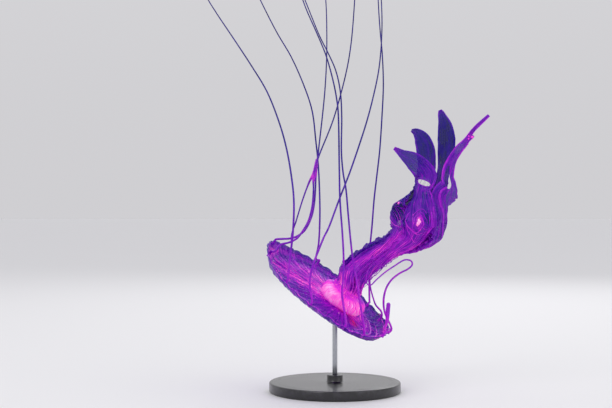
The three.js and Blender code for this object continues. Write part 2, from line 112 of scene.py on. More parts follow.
def normalised(vectors: Array) -> Array:
    """Scales each row of vectors to length 1."""
    return vectors / np.maximum(np.linalg.norm(vectors, axis=-1, keepdims=True), 1e-9)


def grid(first: Array, second: Array) -> list[Array]:
    """Every pair of the two rows' values, as two flat rows."""
    return [side.ravel() for side in np.meshgrid(first, second, indexing="ij")]


def lengths_along(points: Array) -> Array:
    """The length of a row of points up to each point."""
    return np.concatenate([[0], np.cumsum(np.linalg.norm(np.diff(points, axis=0), axis=1))])


def curve_points(stations: Array, shares: Array) -> Array:
    """Reads a Catmull-Rom curve, evenly in its stations.

    Args:
        stations: Points that the curve passes through, one a row.
        shares: Places from 0 to 1; a little outside, the curve runs on.

    Returns:
        One point a row.
    """
    ends = np.vstack([2 * stations[0] - stations[1], stations, 2 * stations[-1] - stations[-2]])
    place = np.asarray(shares) * (len(stations) - 1)
    low = np.clip(np.floor(place).astype(int), 0, len(stations) - 2)
    w = (place - low)[:, None]
    a, b, c, d = (ends[low + i] for i in range(4))
    return 0.5 * (2 * b + (c - a) * w + (2 * a - 5 * b + 4 * c - d) * w ** 2
                  + (3 * b - a - 3 * c + d) * w ** 3)


def curve_tangents(stations: Array, shares: Array, step: float = 1e-4) -> Array:
    """Directions of a Catmull-Rom curve, each measured over two steps."""
    return normalised(curve_points(stations, shares + step) - curve_points(stations, shares - step))


def even_shares(stations: Array, spacing: float) -> Array:
    """Shares of a curve, from 0 to 1, that are an even distance apart.

    Args:
        stations: Points that the curve passes through.
        spacing: The wanted distance.

    Returns:
        The shares.
    """
    fine = np.linspace(0, 1, 60 * len(stations))
    length = lengths_along(curve_points(stations, fine))
    count = max(4, round(length[-1] / spacing))
    return np.interp(np.linspace(0, length[-1], count + 1), length, fine)


# ------------------------------------ node trees

class FieldValue:
    """A value in a node tree that takes part in ordinary arithmetic."""

    def __init__(self, nodes: "Nodes", socket: bpy.types.NodeSocket) -> None:
        """Keeps the socket that gives the value."""
        self.nodes, self.socket = nodes, socket

    def ease(self, low: object, high: object, start: object = 0.0, end: object = 1.0) -> "FieldValue":
        """Eases from start at low to end at high."""
        return self.nodes.read("ShaderNodeMapRange", {0: self, 1: low, 2: high, 3: start, 4: end},
                               interpolation_type="SMOOTHSTEP")


def math_method(operation: str, swapped: bool = False) -> Callable:
    """Makes a method that does one Math operation, with its own value last where swapped is set."""
    return lambda self, *others: self.nodes.math(
        operation, *((*others, self) if swapped else (self, *others)))


for label, kind in {
        "__add__": "ADD", "__radd__": "ADD", "__sub__": "SUBTRACT", "__mul__": "MULTIPLY",
        "__rmul__": "MULTIPLY", "__truediv__": "DIVIDE", "__pow__": "POWER", "sin": "SINE",
        "cos": "COSINE", "size": "ABSOLUTE", "at_least": "MAXIMUM", "at_most": "MINIMUM"}.items():
    setattr(FieldValue, label, math_method(kind))
for label, kind in {"__rsub__": "SUBTRACT", "__rtruediv__": "DIVIDE"}.items():
    setattr(FieldValue, label, math_method(kind, swapped=True))


class Nodes:
    """Adds nodes to one node tree, with their values and links given together."""

    def __init__(self, tree: bpy.types.NodeTree) -> None:
        """Keeps the tree that the nodes go in."""
        self.tree = tree

    def plug(self, node: bpy.types.Node, values: dict) -> None:
        """Links fields to a node's inputs, and sets the others' own values.

        Args:
            node: The node.
            values: Fields and plain values, by the inputs' names or places.
        """
        for key, value in values.items():
            if isinstance(value, FieldValue):
                self.tree.links.new(value.socket, node.inputs[key])
            else:
                node.inputs[key].default_value = value

    def add(self, kind: str, values: dict | None = None, **settings: object) -> bpy.types.Node:
        """Adds a node.

        Args:
            kind: The node's type.
            values: Fields and plain values for its inputs, by name or place.
            **settings: The node's own properties.

        Returns:
            The node.
        """
        node = self.tree.nodes.new(kind)
        for name, value in settings.items():
            setattr(node, name, value)
        self.plug(node, values or {})
        return node

    def read(self, kind: str, values: dict | None = None, output: int | str = 0,
             **settings: object) -> FieldValue:
        """Adds a node and gives one of its outputs as a field."""
        return FieldValue(self, self.add(kind, values, **settings).outputs[output])

    def call(self, group: "Group", values: dict) -> list[FieldValue]:
        """Adds a shader group and gives its outputs as fields."""
        node = self.add("ShaderNodeGroup", values, node_tree=group.tree)
        return [FieldValue(self, socket) for socket in node.outputs]

    def math(self, operation: str, *values: object) -> FieldValue:
        """Adds a Math node."""
        return self.read("ShaderNodeMath", dict(enumerate(values)), operation=operation)

    def combine(self, x: object, y: object, z: object) -> FieldValue:
        """Makes a vector of three numbers."""
        return self.read("ShaderNodeCombineXYZ", {0: x, 1: y, 2: z})

    def scaled(self, vector: object, factor: object) -> FieldValue:
        """A vector times a number."""
        return self.read("ShaderNodeVectorMath", {"Vector": vector, "Scale": factor}, operation="SCALE")

    def vector_sum(self, first: object, second: object) -> FieldValue:
        """The sum of two vectors."""
        return self.read("ShaderNodeVectorMath", {0: first, 1: second}, operation="ADD")

    def mix(self, share: object, first: object, second: object) -> FieldValue:
        """A colour between two colours."""
        return self.read("ShaderNodeMix", {0: share, 6: first, 7: second}, output=2, data_type="RGBA")

    def noise(self, vector: object, scale: object = 1.0, detail: float = 2.0,
              roughness: float = 0.5) -> FieldValue:
        """Soft noise round 0.5, with detail finer layers of a strength of roughness."""
        return self.read("ShaderNodeTexNoise", {
            "Vector": vector, "Scale": scale, "Detail": detail, "Roughness": roughness})


class Group(Nodes):
    """A node group with named inputs and outputs."""

    def __init__(self, name: str, kind: TreeKind) -> None:
        """Makes an empty group."""
        super().__init__(bpy.data.node_groups.new(name, kind.value))
        self.entry, self.exit = (self.tree.nodes.new(f"NodeGroup{end}put") for end in ("In", "Out"))

    def input(self, name: str, default: object = None, kind: str = "Float") -> FieldValue:
        """Adds a named input.

        Args:
            name: The input's name.
            default: Its value where nothing else is set.
            kind: The end of its socket type's name.

        Returns:
            The input as a field.
        """
        socket = self.tree.interface.new_socket(name, in_out="INPUT", socket_type=f"NodeSocket{kind}")
        if default is not None:
            socket.default_value = default
        return FieldValue(self, self.entry.outputs[name])

    def output(self, name: str, kind: str, value: FieldValue) -> None:
        """Adds a named output and links a field to it."""
        self.tree.interface.new_socket(name, in_out="OUTPUT", socket_type=f"NodeSocket{kind}")
        self.plug(self.exit, {name: value})

    def attribute(self, name: str) -> FieldValue:
        """Reads a number that is stored on the mesh."""
        return self.read("GeometryNodeInputNamedAttribute", {"Name": name}, data_type="FLOAT")

    def finish_shape(self, body: FieldValue) -> "Group":
        """Ends a geometry tree: smooth shading, real instances and the material.

        Args:
            body: The geometry so far.

        Returns:
            The group itself.
        """
        dress = {"Material": self.input("Material", kind="Material")}
        for kind, values in (("SetShadeSmooth", {}), ("RealizeInstances", {}), ("SetMaterial", dress)):
            body = self.read(f"GeometryNode{kind}", {"Geometry": body, **values})
        self.output("Geometry", "Geometry", body)
        return self


# ------------------------------------ meshes

def add_object(name: str, data: bpy.types.ID, place: Sequence[float] = (0, 0, 0),
               turn: Sequence[float] = (0, 0, 0)) -> Object:
    """Puts a mesh, a light or a camera in the scene.

    Args:
        name: Its name.
        data: What it is.
        place: Where it is.
        turn: How it is turned.

    Returns:
        The object.
    """
    holder = bpy.data.objects.new(name, data)
    holder.location, holder.rotation_euler = place, turn
    bpy.context.scene.collection.objects.link(holder)
    return holder


def mesh_object(name: str, points: Array, faces: Sequence, attributes: dict[str, Array],
                edges: Sequence = (), material: Material | None = None) -> Object:
    """Makes an object from points in millimetres.

    Args:
        name: The piece's name.
        points: One point a row.
        faces: Point numbers of each face.
        attributes: Numbers, or vectors, that are stored with each point.
        edges: Point numbers of loose edges.
        material: The finish of a piece that is shaded smoothly as it is.

    Returns:
        The object, linked to the scene, at the origin.
    """
    mesh = bpy.data.meshes.new(name)
    mesh.from_pydata((np.asarray(points) * MM).tolist(), edges, faces)
    store(mesh, attributes)
    if material:
        mesh.materials.append(material)
        mesh.polygons.foreach_set("use_smooth", np.ones(len(mesh.polygons), bool))
    mesh.update()
    return add_object(name, mesh)


def store(mesh: bpy.types.Mesh, attributes: dict[str, Array]) -> None:
    """Stores numbers, or vectors, with each point of a mesh.

    Args:
        mesh: The mesh.
        attributes: The values by name, one a point.
    """
    for label, values in attributes.items():
        values = np.asarray(values, np.float32)
        kind, key = ("FLOAT", "value") if values.ndim == 1 else ("FLOAT_VECTOR", "vector")
        mesh.attributes.new(label, kind, "POINT").data.foreach_set(key, values.ravel())


def points_of(piece: Object) -> Array:
    """The piece's points in millimetres, one a row."""
    return np.array([vertex.co for vertex in piece.data.vertices]) / MM


def ring_faces(rows: int, columns: int) -> list:
    """Faces of rings of points joined in order, closed by two more points.

    Args:
        rows: How many rings there are.
        columns: How many points each ring has.

    Returns:
        The faces, to be turned by right_side_out where they face in.
    """
    r, i = grid(np.arange(rows - 1), np.arange(columns))
    near, ahead = r * columns, (i + 1) % columns
    faces = np.stack([near + i, near + ahead, near + columns + ahead, near + columns + i], -1).tolist()
    first, last = rows * columns, (rows - 1) * columns
    for k in range(columns):
        after = (k + 1) % columns
        faces += [[first, after, k], [first + 1, last + k, last + after]]
    return faces


def sheet_faces(rows: int, columns: int) -> Array:
    """Faces of an open grid of points, one face a row."""
    near = np.add(*grid(columns * np.arange(rows - 1), np.arange(columns - 1)))
    return np.stack([near, near + 1, near + columns + 1, near + columns], -1)


def right_side_out(piece: Object) -> Object:
    """Turns a closed mesh's faces outwards if they face in.

    Args:
        piece: The piece.

    Returns:
        The same piece.
    """
    mesh = piece.data
    mesh.calc_loop_triangles()
    corners = np.array([triangle.vertices for triangle in mesh.loop_triangles])
    a, b, c = points_of(piece)[corners].transpose(1, 0, 2)
    if np.einsum("ij,ij->i", np.cross(a, b), c).sum() < 0:
        mesh.flip_normals()
    return piece


def settle(piece: Object) -> Object:
    """Turns the piece's modifiers into its plain mesh.

    Args:
        piece: An object with live modifiers.

    Returns:
        The same object, without them.
    """
    graph = bpy.context.evaluated_depsgraph_get()
    made = bpy.data.meshes.new_from_object(
        piece.evaluated_get(graph), preserve_all_data_layers=True, depsgraph=graph)
    old = piece.data
    piece.modifiers.clear()
    piece.data = made
    bpy.data.meshes.remove(old)
    made.name = piece.name
    return piece


def grow(piece: Object, group: Group, **values: object) -> Object:
    """Runs a geometry tree on a piece and keeps what it makes.

    Args:
        piece: The object that the tree starts from.
        group: The geometry tree.
        **values: The tree's inputs, in lower case with underscores.

    Returns:
        The same object, as a plain mesh.
    """
    modifier = piece.modifiers.new(group.tree.name, "NODES")
    modifier.node_group = group.tree
    for item in group.tree.interface.items_tree:
        key = item.name.lower().replace(" ", "_")
        if item.in_out == "INPUT" and key in values:
            modifier[item.identifier] = values.pop(key)
    if values:
        raise ValueError(f"{group.tree.name} has no input {sorted(values)}")
    return settle(piece)


def thicken(piece: Object, thickness: float) -> Object:
    """Gives an open sheet two faces and rims.

    Args:
        piece: The sheet, which becomes the middle.
        thickness: In millimetres.

    Returns:
        The same object, as a plain mesh.
    """
    modifier = piece.modifiers.new("thickness", "SOLIDIFY")
    modifier.thickness, modifier.offset, modifier.use_even_offset = thickness * MM, 0, False
    return settle(piece)


def hand_over(piece: Object, replaced: Sequence[str] = ()) -> None:
    """Puts a finished piece on the body, and reports it.

    Args:
        piece: The finished piece.
        replaced: CAD nodes that it stands for.
    """
    if replaced:
        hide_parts(*replaced)
    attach(piece, BODY)
    log.info("%s: %d faces", piece.name, len(piece.data.polygons))


# ------------------------------------ shared node groups

def thread_tree() -> Group:
    """Makes the geometry tree that turns lines into beaded tubes.

    Returns:
        The group.
    """
    group = Group("threads", TreeKind.SHAPE)
    body = group.input("Geometry", kind="Geometry")
    radius, beading, bead_size, seed = (group.input(name, value) for name, value in (
        ("Radius", 0.0005), ("Beading", 0.1), ("Bead Size", 0.002), ("Seed", 1.0)))
    sides = group.input("Sides", 8, "Int")
    place = group.read("GeometryNodeInputPosition")
    lumps = group.noise(group.vector_sum(group.scaled(place, 1 / bead_size),
                                         group.combine(seed, 0.0, 0.0)), detail=1.0)
    scale = radius * group.attribute("girth") * ((lumps - 0.5) * beading * 2 + 1)
    curve = group.read("GeometryNodeMeshToCurve", {"Mesh": body})
    profile = group.read("GeometryNodeCurvePrimitiveCircle", {"Resolution": sides, "Radius": 1.0})
    return group.finish_shape(group.read("GeometryNodeCurveToMesh", {
        "Curve": curve, "Profile Curve": profile, "Scale": scale, "Fill Caps": True}))


def bead_tree() -> Group:
    """Makes the geometry tree that sets a small bead on each point.

    Returns:
        The group.
    """
    group = Group("beads", TreeKind.SHAPE)
    body = group.input("Geometry", kind="Geometry")
    radius, uneven = group.input("Radius", 0.0006), group.input("Unevenness", 0.3)
    seed = group.input("Seed", 1, "Int")
    points = group.read("GeometryNodeMeshToPoints", {"Mesh": body})
    ball = group.read("GeometryNodeMeshUVSphere", {"Segments": 10, "Rings": 7, "Radius": 1.0})
    chance = group.read("FunctionNodeRandomValue", {2: 1 - uneven, 3: uneven + 1, "Seed": seed},
                        output=1, data_type="FLOAT")
    size = radius * chance * group.attribute("girth")
    return group.finish_shape(group.read("GeometryNodeInstanceOnPoints", {
        "Points": points, "Instance": ball, "Scale": group.combine(size, size, size)}))


def colour(*steps: int) -> tuple[float, ...]:
    """A colour given in the usual 0 to 255 steps, as linear light."""
    shares = (step / 255 for step in steps)
    return *(s / 12.92 if s <= 0.04045 else ((s + 0.055) / 1.055) ** 2.4 for s in shares), 1.0


JELLY_TONES = (
    (0.00, colour(14, 0, 102)), (0.16, colour(34, 0, 138)), (0.34, colour(78, 2, 168)),
    (0.52, colour(126, 8, 188)), (0.68, colour(178, 24, 204)), (0.82, colour(236, 60, 208)),
    (0.92, colour(255, 112, 210)), (1.00, colour(255, 178, 230)),
)
# The red of a painted shadow under the stomach's near low lobe, on the stomach and on the bell beside it.
LOBE_SHADOW_RED = colour(236, 34, 104)


def tint_tree() -> Group:
    """Makes the shader group that turns a tone from 0 to 1 into the tissue's colour and its painted glow.

    Returns:
        The group.
    """
    group = Group("jelly_tint", TreeKind.SHADER)
    tone, blush = group.input("Tone", 0.5), group.input("Blush", 0.0)
    ramp = group.add("ShaderNodeValToRGB", {"Fac": tone})
    stops = ramp.color_ramp.elements
    stops[0].color, stops[1].color = JELLY_TONES[0][1], JELLY_TONES[-1][1]
    for place, shade in JELLY_TONES[1:-1]:
        stops.new(place).color = shade
    # mixes in the red of the painted shadow under the stomach's lobe, where the mesh asks for it
    mixed = group.mix(blush, FieldValue(group, ramp.outputs[0]), LOBE_SHADOW_RED)
    group.output("Colour", "Color", mixed)
    # painted glow: the colour given off as emission, stronger at higher tones, so the tissue looks lit from
    # within
    group.output("Glow", "Color", group.scaled(mixed, tone.ease(0.2, 0.9, 0.2, 1.0)))
    return group


def streak_tree() -> Group:
    """Makes the shader group of streaks that run along the tissue, with finer ones between.

    Returns:
        The group.
    """
    group = Group("tissue_streaks", TreeKind.SHADER)
    flow = group.input("Flow", kind="Vector")
    fineness = group.input("Fineness", 1.0)
    broad = group.noise(flow, fineness)
    fine = group.noise(flow, fineness * 3.3, roughness=0.6)
    group.output("Mask", "Float", (broad * 0.55 + fine * 0.45).ease(0.34, 0.66))
    return group


def grain_tree() -> Group:
    """Makes the shader group of a surface's fine grain: its height and its roughness.

    Returns:
        The group.
    """
    group = Group("fine_grain", TreeKind.SHADER)
    place = group.input("Place", kind="Vector")
    size, gloss = group.input("Size", 0.001), group.input("Gloss", 0.3)
    swell = group.noise(group.scaled(place, 1 / size), detail=3.0)
    pores = group.noise(group.scaled(place, 4.7 / size), detail=1.0)
    group.output("Height", "Float", swell * 0.7 + pores * 0.3)
    group.output("Roughness", "Float", (swell - 0.5) * 0.25 + gloss)
    return group


@dataclass
class Line:
    """One thread's middle line in millimetres, with its girth, tone and cover along it."""

    points: Array
    girth: Number
    tone: Number
    cover: Number


@dataclass(frozen=True)
class Workshop:
    """The node groups that all the pieces share, and the pieces made of threads and beads."""

    tint: Group = field(default_factory=tint_tree)
    streaks: Group = field(default_factory=streak_tree)
    grain: Group = field(default_factory=grain_tree)
    threads: Group = field(default_factory=thread_tree)
    beads: Group = field(default_factory=bead_tree)

    def weave(self, name: str, lines: Sequence[Line], radius: float, material: Material,
              beading: float = 0.12, bead_size: float = 2.0, sides: int = 7) -> Object:
        """Makes one piece of several threads.

        Args:
            name: The piece's name.
            lines: The threads' middle lines.
            radius: Radius in millimetres where the girth is 1.
            material: The threads' material.
            beading: How uneven the threads are, as a share of the radius.
            bead_size: How long an uneven place is, in millimetres.
            sides: Sides of each thread.

        Returns:
            The piece.
        """
        edges, start = [], 0
        for line in lines:
            edges += [(start + i, start + i + 1) for i in range(len(line.points) - 1)]
            start += len(line.points)
        stored = {key: np.concatenate([np.broadcast_to(getattr(line, key), len(line.points))
                                       for line in lines]) for key in ("girth", "tone", "cover")}
        piece = mesh_object(name, np.vstack([line.points for line in lines]), (), stored, edges)
        return grow(piece, self.threads, radius=radius * MM, beading=beading, sides=sides,
                    bead_size=bead_size * MM, seed=float(len(lines)), material=material)

    def string(self, name: str, points: Array, girth: Array, tone: Array, radius: float,
               material: Material, seed: int) -> Object:
        """Makes one piece of many small beads.

        Args:
            name: The piece's name.
            points: The beads' centres.
            girth: Each bead's share of the radius.
            tone: Each bead's tone.
            radius: Radius in millimetres where the girth is 1.
            material: The beads' material.
            seed: Fixes the beads' uneven sizes.

        Returns:
            The piece.
        """
        stored = {"girth": girth, "tone": tone, "cover": np.ones(len(tone))}
        piece = mesh_object(name, points, (), stored)
        return grow(piece, self.beads, radius=radius * MM, seed=seed, material=material)


# ------------------------------------ finishes

class Surface(Nodes):
    """A new material's tree, with the nodes that several finishes need."""

    def __init__(self, name: str) -> None:
        """Makes the material with only its Principled shader, and reads the place on the piece.

        Args:
            name: The material's name.
        """
        self.material = bpy.data.materials.new(name)
        self.material.use_nodes = True
        super().__init__(self.material.node_tree)
        self.place = self.read("ShaderNodeTexCoord", output="Object")

    def stored(self, label: str, output: str = "Fac") -> FieldValue:
        """Reads a value that is stored on the mesh."""
        return self.read("ShaderNodeAttribute", output=output, attribute_name=label)

    def grained(self, shop: Workshop, size: float, gloss: float) -> list[FieldValue]:
        """The height and the roughness of the fine grain, with its size in millimetres."""
        return self.call(shop.grain, {"Place": self.place, "Size": size * MM, "Gloss": gloss})

    def relief(self, strength: float, distance: float, height: FieldValue) -> FieldValue:
        """A bumpy normal, with the distance in millimetres."""
        return self.read("ShaderNodeBump", {
            "Strength": strength, "Distance": distance * MM, "Height": height})

    def finish(self, values: dict) -> Material:
        """Gives the Principled shader its inputs, and the material back."""
        self.plug(self.tree.nodes["Principled BSDF"], values)
        return self.material


@dataclass(frozen=True)
class JellyFinish:
    """Wet translucent tissue, coloured by the tone that is stored on the mesh, with a painted glow of
    emission in that colour.
    """

    name: str
    streaks: float = 0.2  # how far the streaks move the tone
    fineness: float = 1.0
    clouds: float = 0.1  # how far soft clouds move the tone
    cloud_size: float = 9.0  # millimetres
    # painted glow: the strength of that emission, which makes the tissue look lit though it is no lamp
    glow: float = 0.3
    gloss: float = 0.3  # the roughness that the grain varies about
    grain: float = 1.2  # millimetres
    relief: float = 0.25  # height of the grain, millimetres
    shine: float = 0.32  # how much the bare surface reflects
    bending: float = 1.36  # index of refraction, near that of sea water
    coat: float = 0.14  # the wet film on it
    coat_gloss: float = 0.12
    flow: Flow = Flow.ALONG_TISSUE

    def make(self, shop: Workshop) -> Material:
        """Builds the material.

        Args:
            shop: The shared node groups.

        Returns:
            The material.
        """
        surface = Surface(self.name)
        flow = (surface.scaled(surface.place, 1 / (self.grain * MM * 4)) if self.flow is Flow.OBJECT
                else surface.stored("flow", "Vector"))
        streaks, = surface.call(shop.streaks, {"Flow": flow, "Fineness": self.fineness})
        cloud = surface.noise(surface.scaled(surface.place, 1 / (self.cloud_size * MM)), detail=3.0)
        tone = surface.stored("tone") + (streaks - 0.5) * self.streaks + (cloud - 0.5) * self.clouds
        # the tint's second output is the painted glow, which feeds the emission
        tinted, painted_glow_colour = surface.call(shop.tint, {
            "Tone": tone.at_least(0.0).at_most(1.0), "Blush": surface.stored("blush")})
        height, roughness = surface.grained(shop, self.grain, self.gloss)
        cover = (surface.stored("cover") * ((streaks - 0.5) * self.streaks * 0.4 + 1)).at_most(1.0)
        return surface.finish({
            "Base Color": tinted, "Emission Color": painted_glow_colour, "Emission Strength": self.glow, "Alpha": cover,
            "Roughness": roughness, "Normal": surface.relief(1.0, self.relief, height), "IOR": self.bending,
            "Specular IOR Level": self.shine, "Coat Weight": self.coat,
            "Coat Roughness": self.coat_gloss})


@dataclass(frozen=True)
class LacquerFinish:
    """Near-black satin lacquer with a faint orange peel, specks of dust and paler edges."""

    name: str = "satin_lacquer"
    dark: tuple = colour(20, 19, 24)
    worn: tuple = colour(58, 56, 64)
    gloss: float = 0.3
    peel: float = 0.9  # size of the orange peel, millimetres
    peel_height: float = 0.03
    dust_scale: float = 900.0  # specks along a metre
    dust: float = 0.25
    wear_scale: float = 160.0  # rubbed places along a metre
    wear: float = 0.5
    coat: float = 0.4

    def make(self, shop: Workshop) -> Material:
        """Builds the material.

        Args:
            shop: The shared node groups.

        Returns:
            The material.
        """
        surface = Surface(self.name)
        height, roughness = surface.grained(shop, self.peel, self.gloss)
        specks = surface.noise(surface.scaled(surface.place, self.dust_scale), detail=1.0)
        rubbed = surface.noise(surface.scaled(surface.place, self.wear_scale), detail=4.0)
        wear = (surface.stored("edge") * rubbed.ease(0.42, 0.62) * self.wear
                + specks.ease(0.68, 0.78) * self.dust)
        return surface.finish({
            "Base Color": surface.mix(wear, self.dark, self.worn), "Roughness": roughness,
            "Normal": surface.relief(0.35, self.peel_height, height), "Coat Weight": self.coat,
            "Coat Roughness": 0.08})


@dataclass(frozen=True)
class SteelFinish:
    """Brushed steel, with fine scratches round the rod."""

    name: str = "brushed_steel"
    bright: tuple = colour(196, 199, 205)
    dull: tuple = colour(150, 153, 160)
    gloss: float = 0.26
    scratch_scale: tuple = (400.0, 400.0, 9000.0)  # scratches along a metre, each way
    scratch_depth: float = 0.02  # millimetres

    def make(self, shop: Workshop) -> Material:
        """Builds the material.

        Args:
            shop: The shared node groups.

        Returns:
            The material.
        """
        surface = Surface(self.name)
        stretched = surface.read("ShaderNodeVectorMath", {0: surface.place, 1: self.scratch_scale},
                                 operation="MULTIPLY")
        scratches, = surface.call(shop.streaks, {"Flow": stretched, "Fineness": 1.0})
        return surface.finish({
            "Base Color": surface.mix(scratches, self.dull, self.bright), "Metallic": 1.0,
            "Normal": surface.relief(0.3, self.scratch_depth, scratches),
            "Roughness": scratches * 0.12 + self.gloss})


# ------------------------------------ bell

@dataclass(frozen=True)
class BellAxes:
    """Where the bell's apex is, and which way its rim plane falls and leans."""

    apex_height: float = 76.2
    slope_deg: float = 36.0  # fall of the rim plane towards +X
    lean_deg: float = 12.7  # turn of the mouth side towards -Y
    mouth_shift: float = -6.5  # the mouth's middle, along the slope

    @property
    def down(self) -> Array:
        """Down the slope."""
        slope = math.radians(self.slope_deg)
        return np.array([math.cos(slope), 0, -math.sin(slope)])

    @property
    def mouthward(self) -> Array:
        """Square to the rim plane, towards the mouth side."""
        slope, lean = math.radians(self.slope_deg), math.radians(self.lean_deg)
        return np.array([math.sin(slope), -math.tan(lean), math.cos(slope)]) * math.cos(lean)

    @property
    def across(self) -> Array:
        """Across the slope, away from the front."""
        return np.cross(self.mouthward, self.down)

    def point(self, down: Number, across: Number, up: Number) -> Array:
        """Points from distances down the slope, across it, and mouthward of the apex."""
        parts = zip(np.broadcast_arrays(down, across, up), (self.down, self.across, self.mouthward))
        return np.array([0, 0, self.apex_height]) + sum(part[..., None] * axis for part, axis in parts)


@dataclass
class Bell:
    """The saucer bell: a closed skin with lappets, folds, spokes and a beaded margin."""

    axes: BellAxes
    radius: float = 74.0
    rim_shift: float = -22.0  # the rim's centre, along the slope
    dome_depth: float = 13.5
    dome_power: float = 1.8
    end_droop: float = 4.0  # how much shallower the bell is towards the slope's ends
    apex_flat: float = 0.14
    apex_thickness: float = 13.0
    rim_thickness: float = 1.2
    lappets: float = 32.0
    lappet_reach: float = 0.024
    rim_curl: float = 1.5
    end_curl: float = 9.0
    curl_share: float = 0.85
    frill: float = 1.0  # swing of the ruffled margin
    fold_height: float = 0.75  # radial folds on the mouth side
    folds: float = 62.0
    ring_height: float = 0.22  # ring wrinkles on the mouth side
    wart_height: float = 0.45
    columns: int = 480
    outer_rows: int = 42
    rim_rows: int = 3
    mouth_rows: int = 72
    spokes: int = 118
    spoke_radius: float = 0.3
    end_arcs: int = 4
    long_folds: int = 7
    fold_radius: float = 0.42
    cord_radius: float = 0.5
    bulbs: int = 520
    specks: int = 90
    bulb_radius: float = 0.62
    thread_lift: float = 0.15  # how far threads and bulbs sit off the skin
    row_shares: Array = field(init=False)  # each row of the skin, as a share of the radius
    skin_points: Array = field(init=False)  # its points, by row and column

    LENGTHS = ("radius", "rim_shift", "dome_depth", "end_droop", "apex_thickness", "rim_thickness",
               "rim_curl", "end_curl", "frill", "fold_height", "ring_height", "wart_height")
    NUMBERS = ("dome_power", "apex_flat", "lappets", "lappet_reach", "curl_share", "folds")

    def form_tree(self) -> Group:
        """Builds the geometry tree that shapes the bell from each point's share, angle and side.

        Returns:
            The tree, with the bell's sizes as named inputs in metres.
        """
        group = Group("bell_form", TreeKind.SHAPE)
        body = group.input("Geometry", kind="Geometry")
        size = {name: group.input(name.replace("_", " ").title()) for name in self.LENGTHS + self.NUMBERS}
        down, across, mouthward, apex = (group.input(name, kind="Vector")
                                         for name in ("Down", "Across", "Mouthward", "Apex"))
        seed = group.input("Seed", 3.0)
        share, angle, side = (group.attribute(name) for name in ("share", "angle", "side"))
        cosine, sine = angle.cos(), angle.sin()
        wobble = group.noise(group.combine(cosine * 9.0 + seed, sine * 9.0, share * 4.0)) - 0.5
        speckle = group.noise(group.combine(cosine * 26.0, sine * 26.0 + seed, share * 16.0))

        curl_zone = share.ease(size["curl_share"], 1.0)
        wave = (angle * (size["lappets"] / 2)).sin().size() ** 0.6
        reach = size["radius"] * share * ((wave - 0.6) * size["lappet_reach"] * curl_zone + 1)
        reach = reach + side * (1 - side) * 4 * size["rim_thickness"] * 0.5
        dome = ((share - size["apex_flat"]) / (1 - size["apex_flat"])).at_least(0.0) ** size["dome_power"]
        ends = cosine * cosine
        height = ((size["dome_depth"] - size["end_droop"] * ends) * dome
                  + (size["rim_curl"] + size["end_curl"] * ends * ends) * curl_zone * curl_zone)
        inside = (1 - share * share).at_least(0.0) ** 2.2
        thickness = size["rim_thickness"] + (size["apex_thickness"] - size["rim_thickness"]) * inside

        frill_zone = share.ease(0.74, 1.0)
        ruffle = ((angle * size["lappets"] + (angle * 3.0).sin() * 2.2).sin() * 0.5
                  + (angle * 71.0 + (angle * 7.0).sin() * 1.7).sin() * 0.12 + wobble * 2.4)
        height = height + size["frill"] * frill_zone * frill_zone * ruffle

        belt = share.ease(0.26, 0.42) * share.ease(0.9, 1.0, 1.0, 0.25)
        phase = angle * (size["folds"] / 2) + (angle * 5.0).sin() * 0.6 + wobble * 3.0 + share * 1.5
        ridge = (1 - phase.sin().size()) ** 1.6
        rings = (share * 150.0 + wobble * 9.0 + (angle * 8.0).sin() * 0.8).sin()
        relief = side * belt * (size["fold_height"] * (ridge * 1.4 - 0.4 + (speckle - 0.5) * 0.8)
                                + size["ring_height"] * rings)
        warts = (1 - side) * size["wart_height"] * speckle.ease(0.56, 0.68) * share.ease(0.1, 0.3)
        place = apex
        for axis, distance in ((down, size["rim_shift"] * share + reach * cosine), (across, reach * sine),
                               (mouthward, height + side * thickness + relief - warts)):
            place = group.vector_sum(place, group.scaled(axis, distance))
        moved = group.read("GeometryNodeSetPosition", {"Geometry": body, "Position": place})
        return group.finish_shape(moved)

    def build_skin(self, material: Material) -> Object:
        """Makes the closed skin that stands for the crown and the octants.

        Args:
            material: The bell's finish.

        Returns:
            The piece.
        """
        outer = np.linspace(0.02, 1, self.outer_rows) ** 0.8
        mouth = np.linspace(0.02, 1, self.mouth_rows) ** 0.85
        self.row_shares = np.concatenate([outer, np.ones(self.rim_rows), mouth[::-1]])
        row_sides = np.concatenate([
            np.zeros(self.outer_rows), np.linspace(0, 1, self.rim_rows + 2)[1:-1], np.ones(self.mouth_rows)])
        rows = len(self.row_shares)
        angles = TURN * np.arange(self.columns) / self.columns
        share = np.append(np.repeat(self.row_shares, self.columns), [0, 0])
        side = np.append(np.repeat(row_sides, self.columns), [0, 1])
        angle = np.append(np.tile(angles, rows), [0, 0])
        flat = np.stack([share * np.cos(angle), share * np.sin(angle), side], -1)
        piece = mesh_object("bell_skin", flat, ring_faces(rows, self.columns),
                            {"share": share, "angle": angle, "side": side})
        right_side_out(grow(
            piece, self.form_tree(), **{name: getattr(self, name) * MM for name in self.LENGTHS},
            **{name: getattr(self, name) for name in self.NUMBERS}, material=material,
            **{name: tuple(getattr(self.axes, name)) for name in ("down", "across", "mouthward")},
            apex=tuple(self.axes.point(0, 0, 0) * MM)))
        self.skin_points = points_of(piece)[:-2].reshape(rows, self.columns, 3)
        store(piece.data, self.shades(share, angle, side))
        return piece

